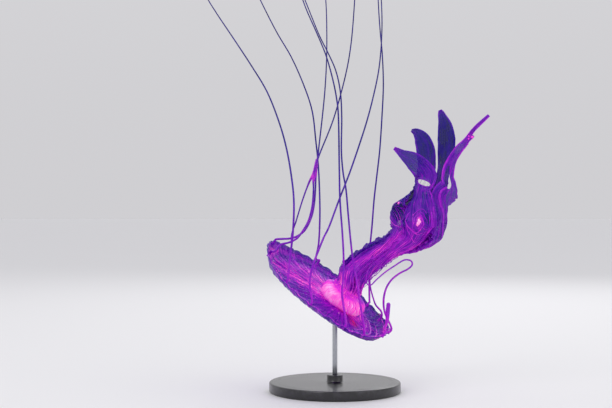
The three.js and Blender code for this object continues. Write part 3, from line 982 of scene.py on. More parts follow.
    def shades(self, share: Array, angle: Array, side: Array) -> dict[str, Array]:
        """The skin's tone, cover, reddish painted shadow beside the stomach, and flow.

        Args:
            share: Each point's share of the radius.
            angle: Each point's angle round the rim.
            side: 0 on the outer face and 1 on the mouth side.

        Returns:
            The values by name, one a point.
        """
        cosine, sine = np.cos(angle), np.sin(angle)
        low_end = smooth(0.5, 0.95, cosine) * smooth(0.6, 0.86, share)
        # back and the far edge below: the rim's far side is painted in shade, darker in tone and a little
        # clearer
        back = smooth(0.0, 0.6, sine)
        edge = smooth(0.955, 1, share)
        down, across = share * cosine, share * sine
        shaded_far_edge = np.maximum(smooth(-0.2, 0.4, sine), smooth(-0.9, -0.98, cosine))
        flush = smooth(1, 0, np.hypot((down + 0.28) / 0.36, (across - 0.56) / 0.2))
        light_band = smooth(1, 0, np.hypot((down + 0.5) / 0.36, (across + 0.03) / 0.16))
        stripe = np.sin(angle * 29 + 0.9 * np.sin(5 * angle) + 2.4 * share) * smooth(0.3, 0.5, share)
        mouth = (0.44 + 0.19 * smooth(-0.3, -0.06, across) + 0.10 * smooth(0.6, 0.3, share)
                 + 0.16 * bump(0.93, 0.045, share) + 0.2 * flush + 0.1 * light_band
                 + 0.08 * stripe * smooth(0.1, -0.6, cosine) * smooth(0.95, 0.85, share)
                 + (0.08 - 0.36 * shaded_far_edge) * edge - 0.22 * low_end - 0.22 * back * smooth(0.68, 0.9, share))
        outer = (0.40 + 0.14 * np.abs(np.cos(8 * angle)) ** 10 * smooth(0.2, 0.5, share)
                 + 0.14 * smooth(0.4, 0.1, share) - 0.08 * edge)
        # a reddish painted shadow on the mouth side, just under the stomach's near low lobe
        blush = 0.8 * bump(0.0, 1.0, np.hypot((share - 0.45) / 0.16, (angle - TURN + 0.6) / 0.36)) * side
        return {
            "tone": side * mouth + (1 - side) * outer,
            "cover": (0.98 - 0.08 * smooth(0.8, 1, share) - 0.04 * low_end
                      - 0.06 * back * smooth(0.85, 1, share)),
            "blush": blush, "flow": np.stack([cosine * 16, sine * 16, share * 2.2], -1)}

    def on_mouth_side(self, share: Number, angle: Number, lift: float = 0.0) -> Array:
        """Places on the finished skin's mouth side.

        Args:
            share: Shares of the radius.
            angle: Angles round the rim.
            lift: Distance off the skin, mouthward.

        Returns:
            One point a row.
        """
        share, angle = np.broadcast_arrays(np.atleast_1d(share), np.atleast_1d(angle))
        first, last = self.outer_rows + self.rim_rows, len(self.row_shares) - 1
        rows = np.interp(share, self.row_shares[first:][::-1], np.arange(last, first - 1, -1))
        turn = (angle / TURN) % 1 * self.columns
        r, c = np.floor(rows).astype(int), np.floor(turn).astype(int)
        wr, wc = (rows - r)[:, None], (turn - c)[:, None]
        points, below = self.skin_points, np.minimum(r + 1, last)
        here, after = c % self.columns, (c + 1) % self.columns
        return ((points[r, here] * (1 - wc) + points[r, after] * wc) * (1 - wr)
                + (points[below, here] * (1 - wc) + points[below, after] * wc) * wr
                + lift * self.axes.mouthward)

    def on_slope(self, down: Array, across: Array, lift: float) -> Array:
        """Places on the mouth side from shares of the radius down and across the slope."""
        return self.on_mouth_side(np.hypot(down, across), np.arctan2(across, down), lift)

    def spoke_lines(self) -> list[Line]:
        """Fine muscle strands that run out from the stomach over the mouth side.

        Returns:
            The strands.
        """
        rng, lines = np.random.default_rng(11), []
        for k in range(self.spokes):
            share = np.linspace(rng.uniform(0.32, 0.5), rng.uniform(0.84, 0.95), 40)
            angle = ((k + rng.uniform(-0.3, 0.3)) / self.spokes * TURN
                     + rng.uniform(-0.1, 0.1) * (share - share[0])
                     + 0.012 * np.sin(share * rng.uniform(18, 34) + k))
            girth = rng.uniform(0.6, 1.25) * taper(40, 0.06, 0.97, 0.6)
            tone = (rng.uniform(0.54, 0.76) - 0.10 * smooth(0.55, 0.95, share)
                    - 0.12 * smooth(-0.1, -0.3, share * np.sin(angle)))
            lines.append(Line(self.on_mouth_side(share, angle, 0.12), girth, tone, 0.9))
        return lines

    def fold_lines(self) -> list[Line]:
        """Bowed folds across the low end, and wavy bright ones from the stomach up the slope.

        Returns:
            The folds.
        """
        rng, lines = np.random.default_rng(23), []
        for share in np.linspace(0.62, 0.97, self.end_arcs):
            turn = np.linspace(-0.8, 0.8, 44) * rng.uniform(0.75, 1.1) + rng.uniform(-0.2, 0.0)
            place = share + 0.02 * np.sin(turn * rng.uniform(3, 6) + share * 30)
            girth = rng.uniform(1.2, 2.2) * taper(44, 0.04, 0.96, 0.6)
            lines.append(Line(self.on_mouth_side(place, turn, self.thread_lift), girth,
                              rng.uniform(0.64, 0.76), 0.95))
        rng = np.random.default_rng(29)
        for k in range(self.long_folds):
            down = np.linspace(rng.uniform(-0.86, -0.7), rng.uniform(-0.3, -0.05), 60)
            across = (-0.16 + 0.07 * (k - 2) * (0.6 - down) + 0.012 * np.sin(down * 47 + 2 * k)
                      + 0.025 * np.sin(down * rng.uniform(12, 22) + k))
            girth = rng.uniform(0.7, 1.5) * taper(60, 0.03, 0.97, 0.5)
            tone = rng.uniform(0.68, 0.84) + 0.05 * np.sin(down * 40 + k)
            lines.append(Line(self.on_slope(down, across, self.thread_lift), girth, tone, 0.95))
        return lines

    def margin_lines(self) -> list[Line]:
        """The cords that run round just inside the lappets.

        Returns:
            The cords.
        """
        turn = np.linspace(0, TURN, 700)
        # far: the far side of the margin, where the cords are thinner and painted in shade, darker by dim
        far = np.maximum(smooth(0.0, 0.5, np.sin(turn)), smooth(-0.9, -0.98, np.cos(turn)))
        return [Line(self.on_mouth_side(share, turn, lift), girth - thin * far, tone - dim * far, cover)
                for share, lift, girth, thin, tone, dim, cover in (
                    (0.95 + 0.008 * np.abs(np.sin(16 * turn)), 0.1, 1.5, 0.5, 0.74, 0.3, 0.97),
                    (0.87 + 0.01 * np.sin(32 * turn), 0.1, 1.2, 0.3, 0.72, 0.3, 0.95),
                    (0.995, -0.3, 1.1, 0.3, 0.68, 0.42, 0.95))]

    def build_margin_beads(self, shop: Workshop, material: Material) -> Object:
        """Makes the small bulbs along the margin, in three loose rows, and specks over the folds.

        Args:
            shop: The shared node groups.
            material: The bulbs' finish.

        Returns:
            The piece.
        """
        rng, count, specks = np.random.default_rng(5), self.bulbs, self.specks
        turn = TURN * (np.arange(count) + rng.uniform(-0.4, 0.4, count)) / count
        share = rng.choice([0.925, 0.955, 0.975], count) + rng.normal(0, 0.006, count)
        # far: the far side, where the bulbs are smaller and painted in shade
        far = smooth(0.0, 0.5, np.sin(turn))
        girth = rng.uniform(0.55, 1.25, count) * (1 - 0.3 * far)
        tone = 0.70 + rng.uniform(-0.14, 0.16, count) - 0.2 * far
        down, across = rng.uniform(-0.85, 0.1, specks), rng.normal(-0.12, 0.16, specks)
        places = np.vstack([self.on_mouth_side(share, turn, self.thread_lift),
                            self.on_slope(down, across, 0.1)])
        return shop.string("bell_margin_bulbs", places, np.append(girth, rng.uniform(0.3, 0.75, specks)),
                           np.append(tone, rng.uniform(0.8, 1.0, specks)), self.bulb_radius, material, 5)

    def build(self, shop: Workshop) -> None:
        """Builds and dresses every piece of the bell.

        Args:
            shop: The shared node groups.
        """
        jelly = JellyFinish("bell_jelly", streaks=0.27, clouds=0.34, cloud_size=6.0, glow=0.22,
                            gloss=0.4, relief=0.3).make(shop)
        strand = JellyFinish("bell_strand", streaks=0.12, glow=0.24, relief=0.05,
                             flow=Flow.OBJECT).make(shop)
        hand_over(self.build_skin(jelly),
                  ["bell_crown", *(f"bell_octant_{k}" for k in range(1, 9))])
        for piece in (
                shop.weave("bell_spokes", self.spoke_lines(), self.spoke_radius, strand, sides=6),
                shop.weave("bell_end_folds", self.fold_lines(), self.fold_radius, strand, beading=0.25),
                shop.weave("bell_margin_cords", self.margin_lines(), self.cord_radius, strand, 0.35, 1.6, 8),
                self.build_margin_beads(shop, strand)):
            hand_over(piece)


# ------------------------------------ stomach

@dataclass
class Stomach:
    """The four-lobed stomach and gonads, and the funnel of the mouth that the arms grow from."""

    axes: BellAxes
    shift: float = -3.0  # the lobes, along the slope from the bell's axis
    first_deg: float = 45.0
    pleats: float = 26.0
    pleat_height: float = 0.28
    columns: int = 288
    rows: int = 150
    filaments: int = 56
    filament_radius: float = 0.42
    filament_reach: float = 20.8  # from the middle, where a filament starts between lobes
    filament_bulge: float = 7.2  # further out, on a lobe
    filament_foot: float = 16.0  # height above the apex
    filament_rise: float = 10.6
    pole_heights: tuple = (11.0, 22.4)  # where the skin closes below, and inside the funnel
    # The section through a lobe and the section between two lobes: radius and height above the apex.
    # Both end in the funnel.
    lobe: Rows = ((12, 11.2), (21, 12.4), (26.4, 15.6), (27.6, 19.8), (26.2, 23.6), (21.5, 26.4),
                  (17.6, 27.6), (15.2, 29.0))
    valley: Rows = ((8, 11.2), (15, 12), (19.0, 14.2), (20.6, 17.4), (19.8, 20.6), (17.6, 23.4),
                    (16, 25.6), (15.0, 28.2))
    funnel: Rows = ((14.4, 31.6), (13.4, 31.2), (10, 27.6), (5.5, 24), (0.8, 22.6))

    def fullness(self, angle: Number) -> Number:
        """1 through the middle of a lobe, and 0 between two lobes."""
        return np.abs(np.cos(2 * (angle - math.radians(self.first_deg)))) ** 0.55

    def build_skin(self, material: Material) -> Object:
        """Makes the closed skin that stands for the gonads and the stalk of the mouth.

        Args:
            material: The stomach's finish.

        Returns:
            The piece.
        """
        high, turn = np.linspace(0, 1, self.rows)[:, None], TURN * np.arange(self.columns) / self.columns
        lobe, valley = (curve_points(np.array(section + self.funnel, float), high[:, 0])[:, None]
                        for section in (self.lobe, self.valley))
        fullness = self.fullness(turn)
        section = valley + (lobe - valley) * fullness[:, None]
        outside, lip = bump(0.30, 0.30, high), bump(0.66, 0.12, high)
        phase = turn * self.pleats / 2 + 1.1 * np.sin(3 * turn + 9 * high) + 1.8 * np.sin(5 * high + turn * 2)
        fold = (1 - np.abs(np.sin(phase))) ** 1.4 * 1.3 - 0.5
        swell = 0.5 * np.sin(7 * turn + 14 * high) * np.sin(3 * turn - 11 * high)
        small = 1 - 0.15 * smooth(0.35, 1.0, np.cos(turn + 0.9))
        radial = ((section[..., 0] + outside * (self.pleat_height * fold + 0.6 * swell))
                  * (small + (1 - small) * smooth(0.5, 0.66, high))
                  + lip * 0.7 * np.sin(24 * turn + 2 * np.sin(5 * turn)))
        up = section[..., 1] + outside * 0.4 * self.pleat_height * fold + lip * 0.6 * np.sin(17 * turn)
        mouth = self.axes.mouth_shift
        shift = mouth + (self.shift - mouth) * smooth(0.62, 0.45, high)
        points = self.axes.point(shift + radial * np.cos(turn), radial * np.sin(turn), up)
        poles = self.axes.point((self.shift, mouth), 0, self.pole_heights)
        tone = (0.95 - 0.2 * smooth(0.36, 0.52, high) - 0.2 * smooth(-0.2, 0.5, np.sin(turn))
                + 0.04 * fold * outside - 0.10 * (1 - fullness) * outside - 0.26 * smooth(0.2, 0.05, high))
        cover = 1 - 0.3 * smooth(0.14, 0.04, high) * np.ones_like(radial)
        # a reddish painted shadow at the foot of the near low lobe, where it sits on the bell
        blush = 0.7 * smooth(0.2, 0.9, np.cos(turn + 0.5)) * smooth(0.2, 0.08, high)
        flow = np.stack(np.broadcast_arrays(np.cos(turn) * 7, np.sin(turn) * 7, high * 4), -1)
        attributes = {label: np.append(values, [at_poles] * 2) for label, values, at_poles in (
            ("tone", tone, 0.6), ("cover", cover, 1), ("blush", blush, 0))}
        attributes["flow"] = np.vstack([flow.reshape(-1, 3), np.zeros((2, 3))])
        return right_side_out(mesh_object(
            "stomach_skin", np.vstack([points.reshape(-1, 3), poles]),
            ring_faces(self.rows, self.columns), attributes, material=material))

    def filament_lines(self) -> list[Line]:
        """Short digestive threads that lie over the lobes.

        Returns:
            The threads.
        """
        rng, lines, share = np.random.default_rng(31), [], np.linspace(0, 1, 22)
        for k in range(self.filaments):
            angle = TURN * (k + rng.uniform(-0.3, 0.3)) / self.filaments
            reach = self.filament_reach + self.filament_bulge * self.fullness(angle)
            down = reach * (1.02 - 0.42 * share) + 0.5 * np.sin(share * 9 + k)
            rise = self.filament_rise * np.sin(share * math.pi / 2)
            high = self.filament_foot + rise + rng.uniform(-1, 0.6)
            turn = angle + rng.uniform(-0.16, 0.16) * share + 0.03 * np.sin(share * 12 + k)
            points = self.axes.point(self.shift + down * np.cos(turn), down * np.sin(turn), high)
            lines.append(Line(points, np.sin(np.pi * np.clip(share, 0.05, 0.95)) ** 0.5,
                              rng.uniform(0.78, 0.94) - 0.1 * share, 1.0))
        return lines

    def build(self, shop: Workshop) -> None:
        """Builds and dresses the stomach.

        Args:
            shop: The shared node groups.
        """
        tissue = JellyFinish("stomach_tissue", streaks=0.10, fineness=1.3, cloud_size=6.0, glow=0.32,
                             gloss=0.45, shine=0.2, coat=0.05).make(shop)
        hand_over(self.build_skin(tissue),
                  [*(f"gonad_{k}" for k in range(1, 5)), "mouth_stalk"])
        hand_over(shop.weave("stomach_filaments", self.filament_lines(), self.filament_radius, tissue,
                             0.3, 1.4, 6))


# ------------------------------------ oral arms

@dataclass(frozen=True)
class Spot:
    """An oval place on an arm: its station, its place across, and its half lengths both ways."""

    along: float
    across: float
    half_along: float
    half_across: float

    def offsets(self, station: Array, across: Array) -> tuple[Array, Array]:
        """Places from the middle, along and across, in half lengths."""
        return (station - self.along) / self.half_along, (across - self.across) / self.half_across

    def away(self, station: Array, across: Array) -> Array:
        """The distance from the middle: 1 on the oval's outline."""
        return np.hypot(*self.offsets(station, across))


@dataclass(frozen=True)
class Patch(Spot):
    """A soft-edged oval that is darker or paler, and more or less clear."""

    tone: float
    cover: float


@dataclass(frozen=True)
class Flare(Spot):
    """A place where an arm is pushed out, in millimetres."""

    x: float
    y: float
    z: float


@dataclass(frozen=True)
class Ring(Spot):
    """A strand that winds round a place."""

    tone: float = 0.14  # more than the arm's own
    girth: float = 1.0
    share: float = 0.6  # of a full turn


@dataclass(frozen=True)
class Bundle:
    """The bundle that the four arms share: its middle line, its radius, and its tones."""

    axes: BellAxes
    places: Rows = ((19, -7, 118.6), (37, -7, 132.5), (56, -5, 144), (72, -2, 154.5), (83.5, -1, 167),
                    (91, -2, 185), (95, -3, 200))
    radius: tuple = (14, 13.6, 14.4, 10.8, 9.5, 17, 26.5, 22, 15.5)
    tones: tuple = (0.84, 0.64, 0.48, 0.50, 0.56, 0.52, 0.42, 0.38, 0.40)
    covers: tuple = (0.95, 0.92, 0.88, 0.9, 0.92, 0.86, 0.74, 0.74, 0.82)
    shaded_side: tuple = (-0.62, 0.42, 0.66)  # the bundle's upper back, painted in shade, where its tissue is also thin
    square_stations: int = 2  # stations before the bundle bends and twists
    mouth_top: float = 29.1
    square_rise: float = 6.7
    twist_deg: float = 135.0
    arc_deg: float = 42.5

    def middle(self) -> Array:
        """The stations of the bundle's middle line."""
        up = np.array([self.mouth_top, self.mouth_top + self.square_rise])
        return np.vstack([self.axes.point(self.axes.mouth_shift, 0, up), self.places])


@dataclass
class OralArm:
    """One ribbon-like arm: a ruffled blade, frilled curtains along its edges, and its strands."""

    bundle: Bundle
    number: int
    quarter_deg: float
    # Stations past the bundle: place, the way they face, half width, tone and cover.
    tip: Rows
    windows: tuple[Spot, ...] = ()
    patches: tuple[Patch, ...] = ()
    flares: tuple[Flare, ...] = ()
    rings: tuple[Ring, ...] = ()
    # Small bright lumps: station, place across, radius and tone.
    knots: Rows = ((2.6, 0.3, 0.6, 0.85), (3.4, -0.4, 0.5, 0.85))
    whole_strands: int = 4  # strands that run on to the tip
    blade_strands: int = 15
    loose_strands: int = 12
    strand_radius: float = 0.36
    thickness: float = 0.45
    flat_curl: float = 40.0  # radius of the slight cup across the arm's end
    ruffle: float = 1.1
    ruffles_per_station: float = 0.45
    edge_frill: float = 0.8  # swing of the fine frill along the edges
    frill_length: float = 8.5
    columns: int = 37
    row_spacing: float = 0.85
    cord_spacing: float = 0.9
    run_in: float = 0.014  # how far the blade starts before its root, as a share of the arm
    curtain_stations: tuple = (0.3, 7.6)
    curtain_rows: int = 330
    curtain_columns: int = 9
    curtain_depth: float = 5.6
    curtain_thickness: float = 0.3

    def __post_init__(self) -> None:
        """Works out the values at each station."""
        bundle, middle = self.bundle, self.bundle.middle()
        last, square = len(middle) - 1, bundle.square_stations
        tangents = curve_tangents(middle, np.linspace(0, 1, last + 1))
        tangents[:square] = bundle.axes.mouthward
        faces = []
        for j, tangent in enumerate(tangents):
            away = normalised(np.array([0, 1, 0]) - tangent * tangent[1])
            turned = max(0, j + 1 - square) / (last + 1 - square)
            turn = math.radians(self.quarter_deg - bundle.twist_deg * (1 - turned))
            faces.append(np.cross(tangent, away) * math.cos(turn) + away * math.sin(turn))
        radius, tip = np.array(bundle.radius, float), np.array(self.tip, float)
        self.at = np.vstack([middle + np.array(faces) * radius[:, None], tip[:, :3]])
        self.faces = np.vstack([faces, normalised(tip[:, 3:6])])
        self.halves = np.append(radius * math.radians(bundle.arc_deg), tip[:, 6])
        self.curls = np.append(radius, np.full(len(tip), self.flat_curl))
        self.tones, self.covers = np.append(bundle.tones, tip[:, 7]), np.append(bundle.covers, tip[:, 8])
        self.count = len(self.at)
        self.fine = np.linspace(0, 1, 800)
        self.lengths = lengths_along(curve_points(self.at, self.fine))

    def station(self, along: Array) -> Array:
        """The station number at shares of the arm."""
        return along * (self.count - 1)

    def share(self, station: Array) -> Array:
        """The share of the arm at station numbers."""
        return station / (self.count - 1)

    def surface(self, along: Number, across: Number, lift: Number = 0.0, inward: float = 0.0) -> Array:
        """Points on the arm's blade.

        Args:
            along: Shares of the arm, from its root.
            across: From -1 at one edge to 1 at the other.
            lift: Distance off the blade, outwards.
            inward: Further distance towards the bundle's middle, without the ruffles.

        Returns:
            One point a row.
        """
        along, across = (side.ravel() for side in np.broadcast_arrays(along, across))
        tangent, face = curve_tangents(self.at, along), curve_points(self.faces, along)
        face = normalised(face - tangent * np.sum(face * tangent, 1, keepdims=True))
        curl, half = spread(self.curls, along), spread(self.halves, along)
        turn, station = across * half / curl, self.station(along)
        mm = np.interp(along, self.fine, self.lengths)
        edge = np.abs(across) ** 2.4
        lively = smooth(10.5, 7.5, station) * 0.88 + 0.12
        broad = self.ruffle * across ** 2 * np.sin(
            TURN * self.ruffles_per_station * along * self.count + 2 * across)
        phase = self.number * 1.7 + np.sign(across) * 1.1
        frill = self.edge_frill * lively * edge * np.clip(half / 6, 0.15, 1) * (
            np.sin(TURN * mm / self.frill_length + phase + 1.3 * np.sin(mm / 6.3 + phase))
            + 0.45 * np.sin(TURN * mm / (self.frill_length * 0.43) + 2 * phase) * np.abs(across))
        sway = 0.35 * lively * np.sin(mm / 3.1 + across * 5 + self.number) * (1 - edge)
        off = curl + lift - inward
        points = (curve_points(self.at, along) + np.cross(tangent, face) * (off * np.sin(turn))[:, None]
                  + face * (off * np.cos(turn) - curl + broad + frill + sway)[:, None])
        for flare in self.flares:
            push = np.clip(1 - flare.away(station, across) ** 2, 0, 1) ** 2
            points = points + push[:, None] * np.array([flare.x, flare.y, flare.z])
        return points

    def toward(self, along: Array, across: Array) -> Array:
        """How squarely places on the blade face the bundle's shaded upper back, from -1 to 1."""
        out = normalised(self.surface(along, across, lift=1.0) - self.surface(along, across))
        return out @ normalised(np.array(self.bundle.shaded_side, float))

    def shaded(self, along: Array, across: Array) -> Array:
        """The painted shade on the bundle's upper back, where its tissue is also thin: 0 to 1, and 0 past the
        bundle.
        """
        return smooth(0.3, 0.95, self.toward(along, across)) * smooth(9.0, 7.5, self.station(along))

    def painted_highlight(self, along: Array, across: Array) -> Array:
        """The painted highlight: a bright ridge beside the shaded side, from 0 to 1, on the bundle's low
        part.
        """
        return bump(0.02, 0.42, self.toward(along, across)) * smooth(6.0, 4.0, self.station(along))

    def opened(self, window: Spot, u: Array, v: Array, faces: Array) -> tuple[Array, Array, Array]:
        """Opens a window in the blade's grid, with a smooth outline.

        Args:
            window: The opening.
            u: The points' shares of the arm.
            v: The points' places across.
            faces: The grid's faces.

        Returns:
            The moved places and the faces that are left.
        """
        du, dv = window.offsets(self.station(u), v)
        is_open = np.hypot(du[faces].mean(1), dv[faces].mean(1)) < 1
        rim = np.intersect1d(faces[is_open], faces[~is_open])
        away = np.maximum(np.hypot(du, dv), 1e-6)[rim]
        u, v = u.copy(), v.copy()
        u[rim] = self.share(window.along + du[rim] / away * window.half_along)
        v[rim] = window.across + dv[rim] / away * window.half_across
        return u, v, faces[~is_open]

    def build_blade(self, material: Material) -> Object:
        """Makes the arm's blade, with its windows open, in the place of its three CAD lengths.

        Args:
            material: The arms' finish.

        Returns:
            The piece.
        """
        along = np.append(np.linspace(-self.run_in, 0, 6)[:-1], even_shares(self.at, self.row_spacing))
        u, v = grid(along, np.linspace(-1, 1, self.columns))
        faces = sheet_faces(len(along), self.columns)
        for window in self.windows:
            u, v, faces = self.opened(window, u, v, faces)
        station, mm = self.station(u), np.interp(u, self.fine, self.lengths)
        petal, edge = smooth(8.5, 10.5, station), smooth(0.72, 1.0, np.abs(v))
        # painted shade on the bundle's upper back, and a painted highlight along the ridge beside it
        tone = (spread(self.tones, u) + edge * (0.08 + 0.14 * petal)
                + 0.03 * np.abs(np.sin(v * 5.5)) ** 8 * petal
                - 0.2 * self.shaded(u, v) + 0.1 * self.painted_highlight(u, v))
        cover = spread(self.covers, u) + 0.2 * edge
        for patch in self.patches:
            near = smooth(1.2, 0.7, patch.away(station, v))
            tone, cover = tone + patch.tone * near, cover + patch.cover * near
        flow = np.stack([v * (5 - 3.4 * petal) + self.number * 9, mm / 26, self.number * 3 + 0 * v], -1)
        kept, numbers = np.unique(faces, return_inverse=True)
        return thicken(mesh_object(
            f"oral_arm_{self.number}_blade", self.surface(u, v)[kept], numbers.reshape(-1, 4).tolist(),
            {"tone": tone[kept], "cover": cover[kept], "flow": flow[kept]}, material=material),
            self.thickness)

    def build_curtains(self, material: Material) -> Object:
        """Makes the frilled curtains on the arm's two edges: deep ones inwards and short ones outwards.

        Args:
            material: The arms' finish.

        Returns:
            The piece.
        """
        rows, columns = self.curtain_rows, self.curtain_columns
        u, depth = grid(self.share(np.linspace(*self.curtain_stations, rows)), np.linspace(0, 1, columns))
        station, mm = self.station(u), np.interp(u, self.fine, self.lengths)
        bulk = smooth(0.2, 1.4, station) * smooth(7.8, 5.5, station)
        low = smooth(5.4, 4.2, station)
        points, faces, stored = [], [], {"tone": [], "cover": [], "flow": []}
        for k, (side, outward) in enumerate(((-1, False), (1, False), (-1, True), (1, True))):
            place = np.full_like(u, (0.93 if outward else 0.9) * side)
            # thin: the outward curtains on the shaded side, which reach further, are clearer, and are painted
            # in shade
            thin = self.shaded(u, place) * outward
            lively = 0.5 + 0.5 * np.sin(mm / 5.3 + 2.1 * k) * np.sin(mm / 13.0 + self.number + k)
            reach = bulk * (1.3 * lively + (2.6 + 2.2 * lively) * thin * low if outward
                            else self.curtain_depth) + 0.2
            phase, calm = self.number * 2.3 + k * 1.9, 2.6 if outward else 1.0
            swing = depth ** 1.2 / calm ** 0.7 * (
                2.3 * np.sin(TURN * mm / (7.3 * calm) + phase + 1.1 * np.sin(mm / 9))
                + 0.9 / calm ** 2 * np.sin(TURN * mm / (3.4 * calm) + 2 * phase))
            base = self.surface(u, place)
            away = normalised(self.surface(u, place, inward=-1.0 if outward else 1.0) - base)
            aside = normalised(self.surface(u, place + 0.05 * side) - base)
            points.append(base + away * (depth * reach)[:, None]
                          + aside * (swing * np.clip(reach / 5, 0, 1))[:, None])
            faces.append(sheet_faces(rows, columns) + k * rows * columns)
            # darker by thin: painted shade on the bundle's upper back
            stored["tone"].append(
                spread(self.tones, u) + 0.02 + 0.12 * depth ** 3 - 0.04 * outward - 0.24 * thin)
            stored["cover"].append(
                spread(self.covers, u) * (0.94 - 0.16 * thin) + 0.12 * depth ** 4)
            stored["flow"].append(np.stack([depth * 3 + 40 * k, mm / 9, u * 0 + self.number], -1))
        return thicken(mesh_object(
            f"oral_arm_{self.number}_curtains", np.vstack(points), np.vstack(faces).tolist(),
            {label: np.concatenate(parts) for label, parts in stored.items()}, material=material),
            self.curtain_thickness)

    def strand(self, along: Array, across: Number, girth: Number, extra: Number, lift: Number = 0.3,
               dim: float = 0.24, cover: float = 0.95) -> Line:
        """A strand on the blade.

        Args:
            along: Shares of the arm.
            across: Places across it.
            girth: The strand's girth.
            extra: How much brighter it is than the blade.
            lift: Distance off the blade.
            dim: How much darker it is painted on the bundle's shaded upper back.
            cover: How solid it looks.

        Returns:
            The strand's line.
        """
        tone = spread(self.tones, along) + extra
        # painted shade on the bundle's upper back
        if dim:
            tone = tone - dim * self.shaded(along, across + 0 * along)
        return Line(self.surface(along, across, lift), girth, tone, cover)

    def strands(self) -> list[Line]:
        """The cords along the arm's edges, and every strand on its blade.

        Returns:
            The strands.
        """
        rng, along = np.random.default_rng(40 + self.number), even_shares(self.at, self.cord_spacing)
        station = self.station(along)
        girth, extra = 1.15 - 0.45 * smooth(8, 11, station), 0.06 + 0.10 * smooth(8.5, 10.5, station)
        return [*(self.strand(along, side, girth, extra, 0.0) for side in (-1, 1)),
                *self.long_strands(rng), *self.bowed_strands(rng), *self.ring_strands(rng)]

    def long_strands(self, rng: np.random.Generator) -> list[Line]:
        """The strands that run down the blade, a few of them on to its tip.

        Args:
            rng: The arm's random draws.

        Returns:
            The strands.
        """
        lines, count = [], self.blade_strands
        for k in range(count):
            whole = k % (count // self.whole_strands) == 2
            end = (self.count - 1.2) if whole else rng.uniform(4.0, 8.8)
            start = rng.uniform(-0.1, 0.5)
            station = np.linspace(start, end, int((end - start) * 18))
            along = self.share(station)
            home = (k + 0.5) / count * 1.84 - 0.92 + rng.uniform(-0.05, 0.05)
            across = (home * (1 - 0.35 * smooth(8.5, 11, station))
                      + 0.05 * np.sin(station * rng.uniform(1.5, 3) + k))
            share = (station - start) / (end - start)
            girth = (rng.uniform(0.7, 1.35) * np.clip(np.minimum(share * 8, (1 - share) * 5), 0.25, 1)
                     * (1 - 0.5 * smooth(8.5, 11, station)))
            # a random brightness, plus a painted highlight along the ridge beside the shaded side
            bright = rng.uniform(0.0, 0.2) + ((0.05 + 0.24 * self.painted_highlight(along, across))
                                              * smooth(5, 3, station) * rng.uniform(0, 1))
            for window in self.windows:
                girth = girth * (1 - 0.8 * smooth(1.25, 0.95, window.away(station, across)))
            lines.append(self.strand(along, across, girth, bright * (1 - 0.6 * smooth(8, 10.5, station))
                                     + 0.06 * np.sin(station * rng.uniform(5, 9))))
        return lines

    def bowed_strands(self, rng: np.random.Generator) -> list[Line]:
        """Short strands near the root that stand off the blade in bows.

        Args:
            rng: The arm's random draws.

        Returns:
            The strands.
        """
        lines, share = [], np.linspace(0, 1, 40)
        for _ in range(self.loose_strands):
            along = self.share(rng.uniform(0.5, 3.2) + rng.uniform(0.8, 1.8) * share)
            across = rng.uniform(-0.95, 0.95) + rng.uniform(-0.5, 0.5) * share
            bow = 0.2 + rng.uniform(1.0, 3.6) * np.sin(np.pi * share)
            # a random brightness, plus a painted highlight along the ridge beside the shaded side
            bright = rng.uniform(0.02, 0.16) + 0.22 * self.painted_highlight(along, across)
            lines.append(self.strand(along, across, rng.uniform(0.6, 1.0), bright, bow))
        return lines

    def ring_strands(self, rng: np.random.Generator) -> list[Line]:
        """The strands that wind round the arm's places.

        Args:
            rng: The arm's random draws.

        Returns:
            The strands.
        """
        lines = []
        for ring in self.rings:
            turn = np.linspace(0, TURN * ring.share, 90) + rng.uniform(0, TURN)
            uneven = 1 + 0.12 * np.sin(2 * turn + rng.uniform(0, TURN)) + 0.05 * np.sin(5 * turn)
            along = self.share(ring.along + ring.half_along * np.cos(turn) * uneven)
            across = ring.across + ring.half_across * np.sin(turn) * uneven
            lines.append(self.strand(along, across, ring.girth * taper(90, 0.05, 0.95, 0.4), ring.tone,
                                     dim=0, cover=0.97))
        return lines

    def build(self, shop: Workshop, tissue: Material, strand: Material) -> None:
        """Builds and dresses the arm.

        Args:
            shop: The shared node groups.
            tissue: The blade's finish.
            strand: The strands' finish.
        """
        name = f"oral_arm_{self.number}"
        hand_over(self.build_blade(tissue),
                  [f"{name}_{part}" for part in ("root", "middle", "end")])
        hand_over(self.build_curtains(tissue))
        hand_over(shop.weave(f"{name}_strands", self.strands(), self.strand_radius, strand, 0.2,
                             sides=6))
        station, across, girth, tone = np.array(self.knots).T
        lumps = self.surface(self.share(station), across, lift=0.2)
        hand_over(shop.string(f"{name}_knots", lumps, girth, tone, 1.0, strand, 3))


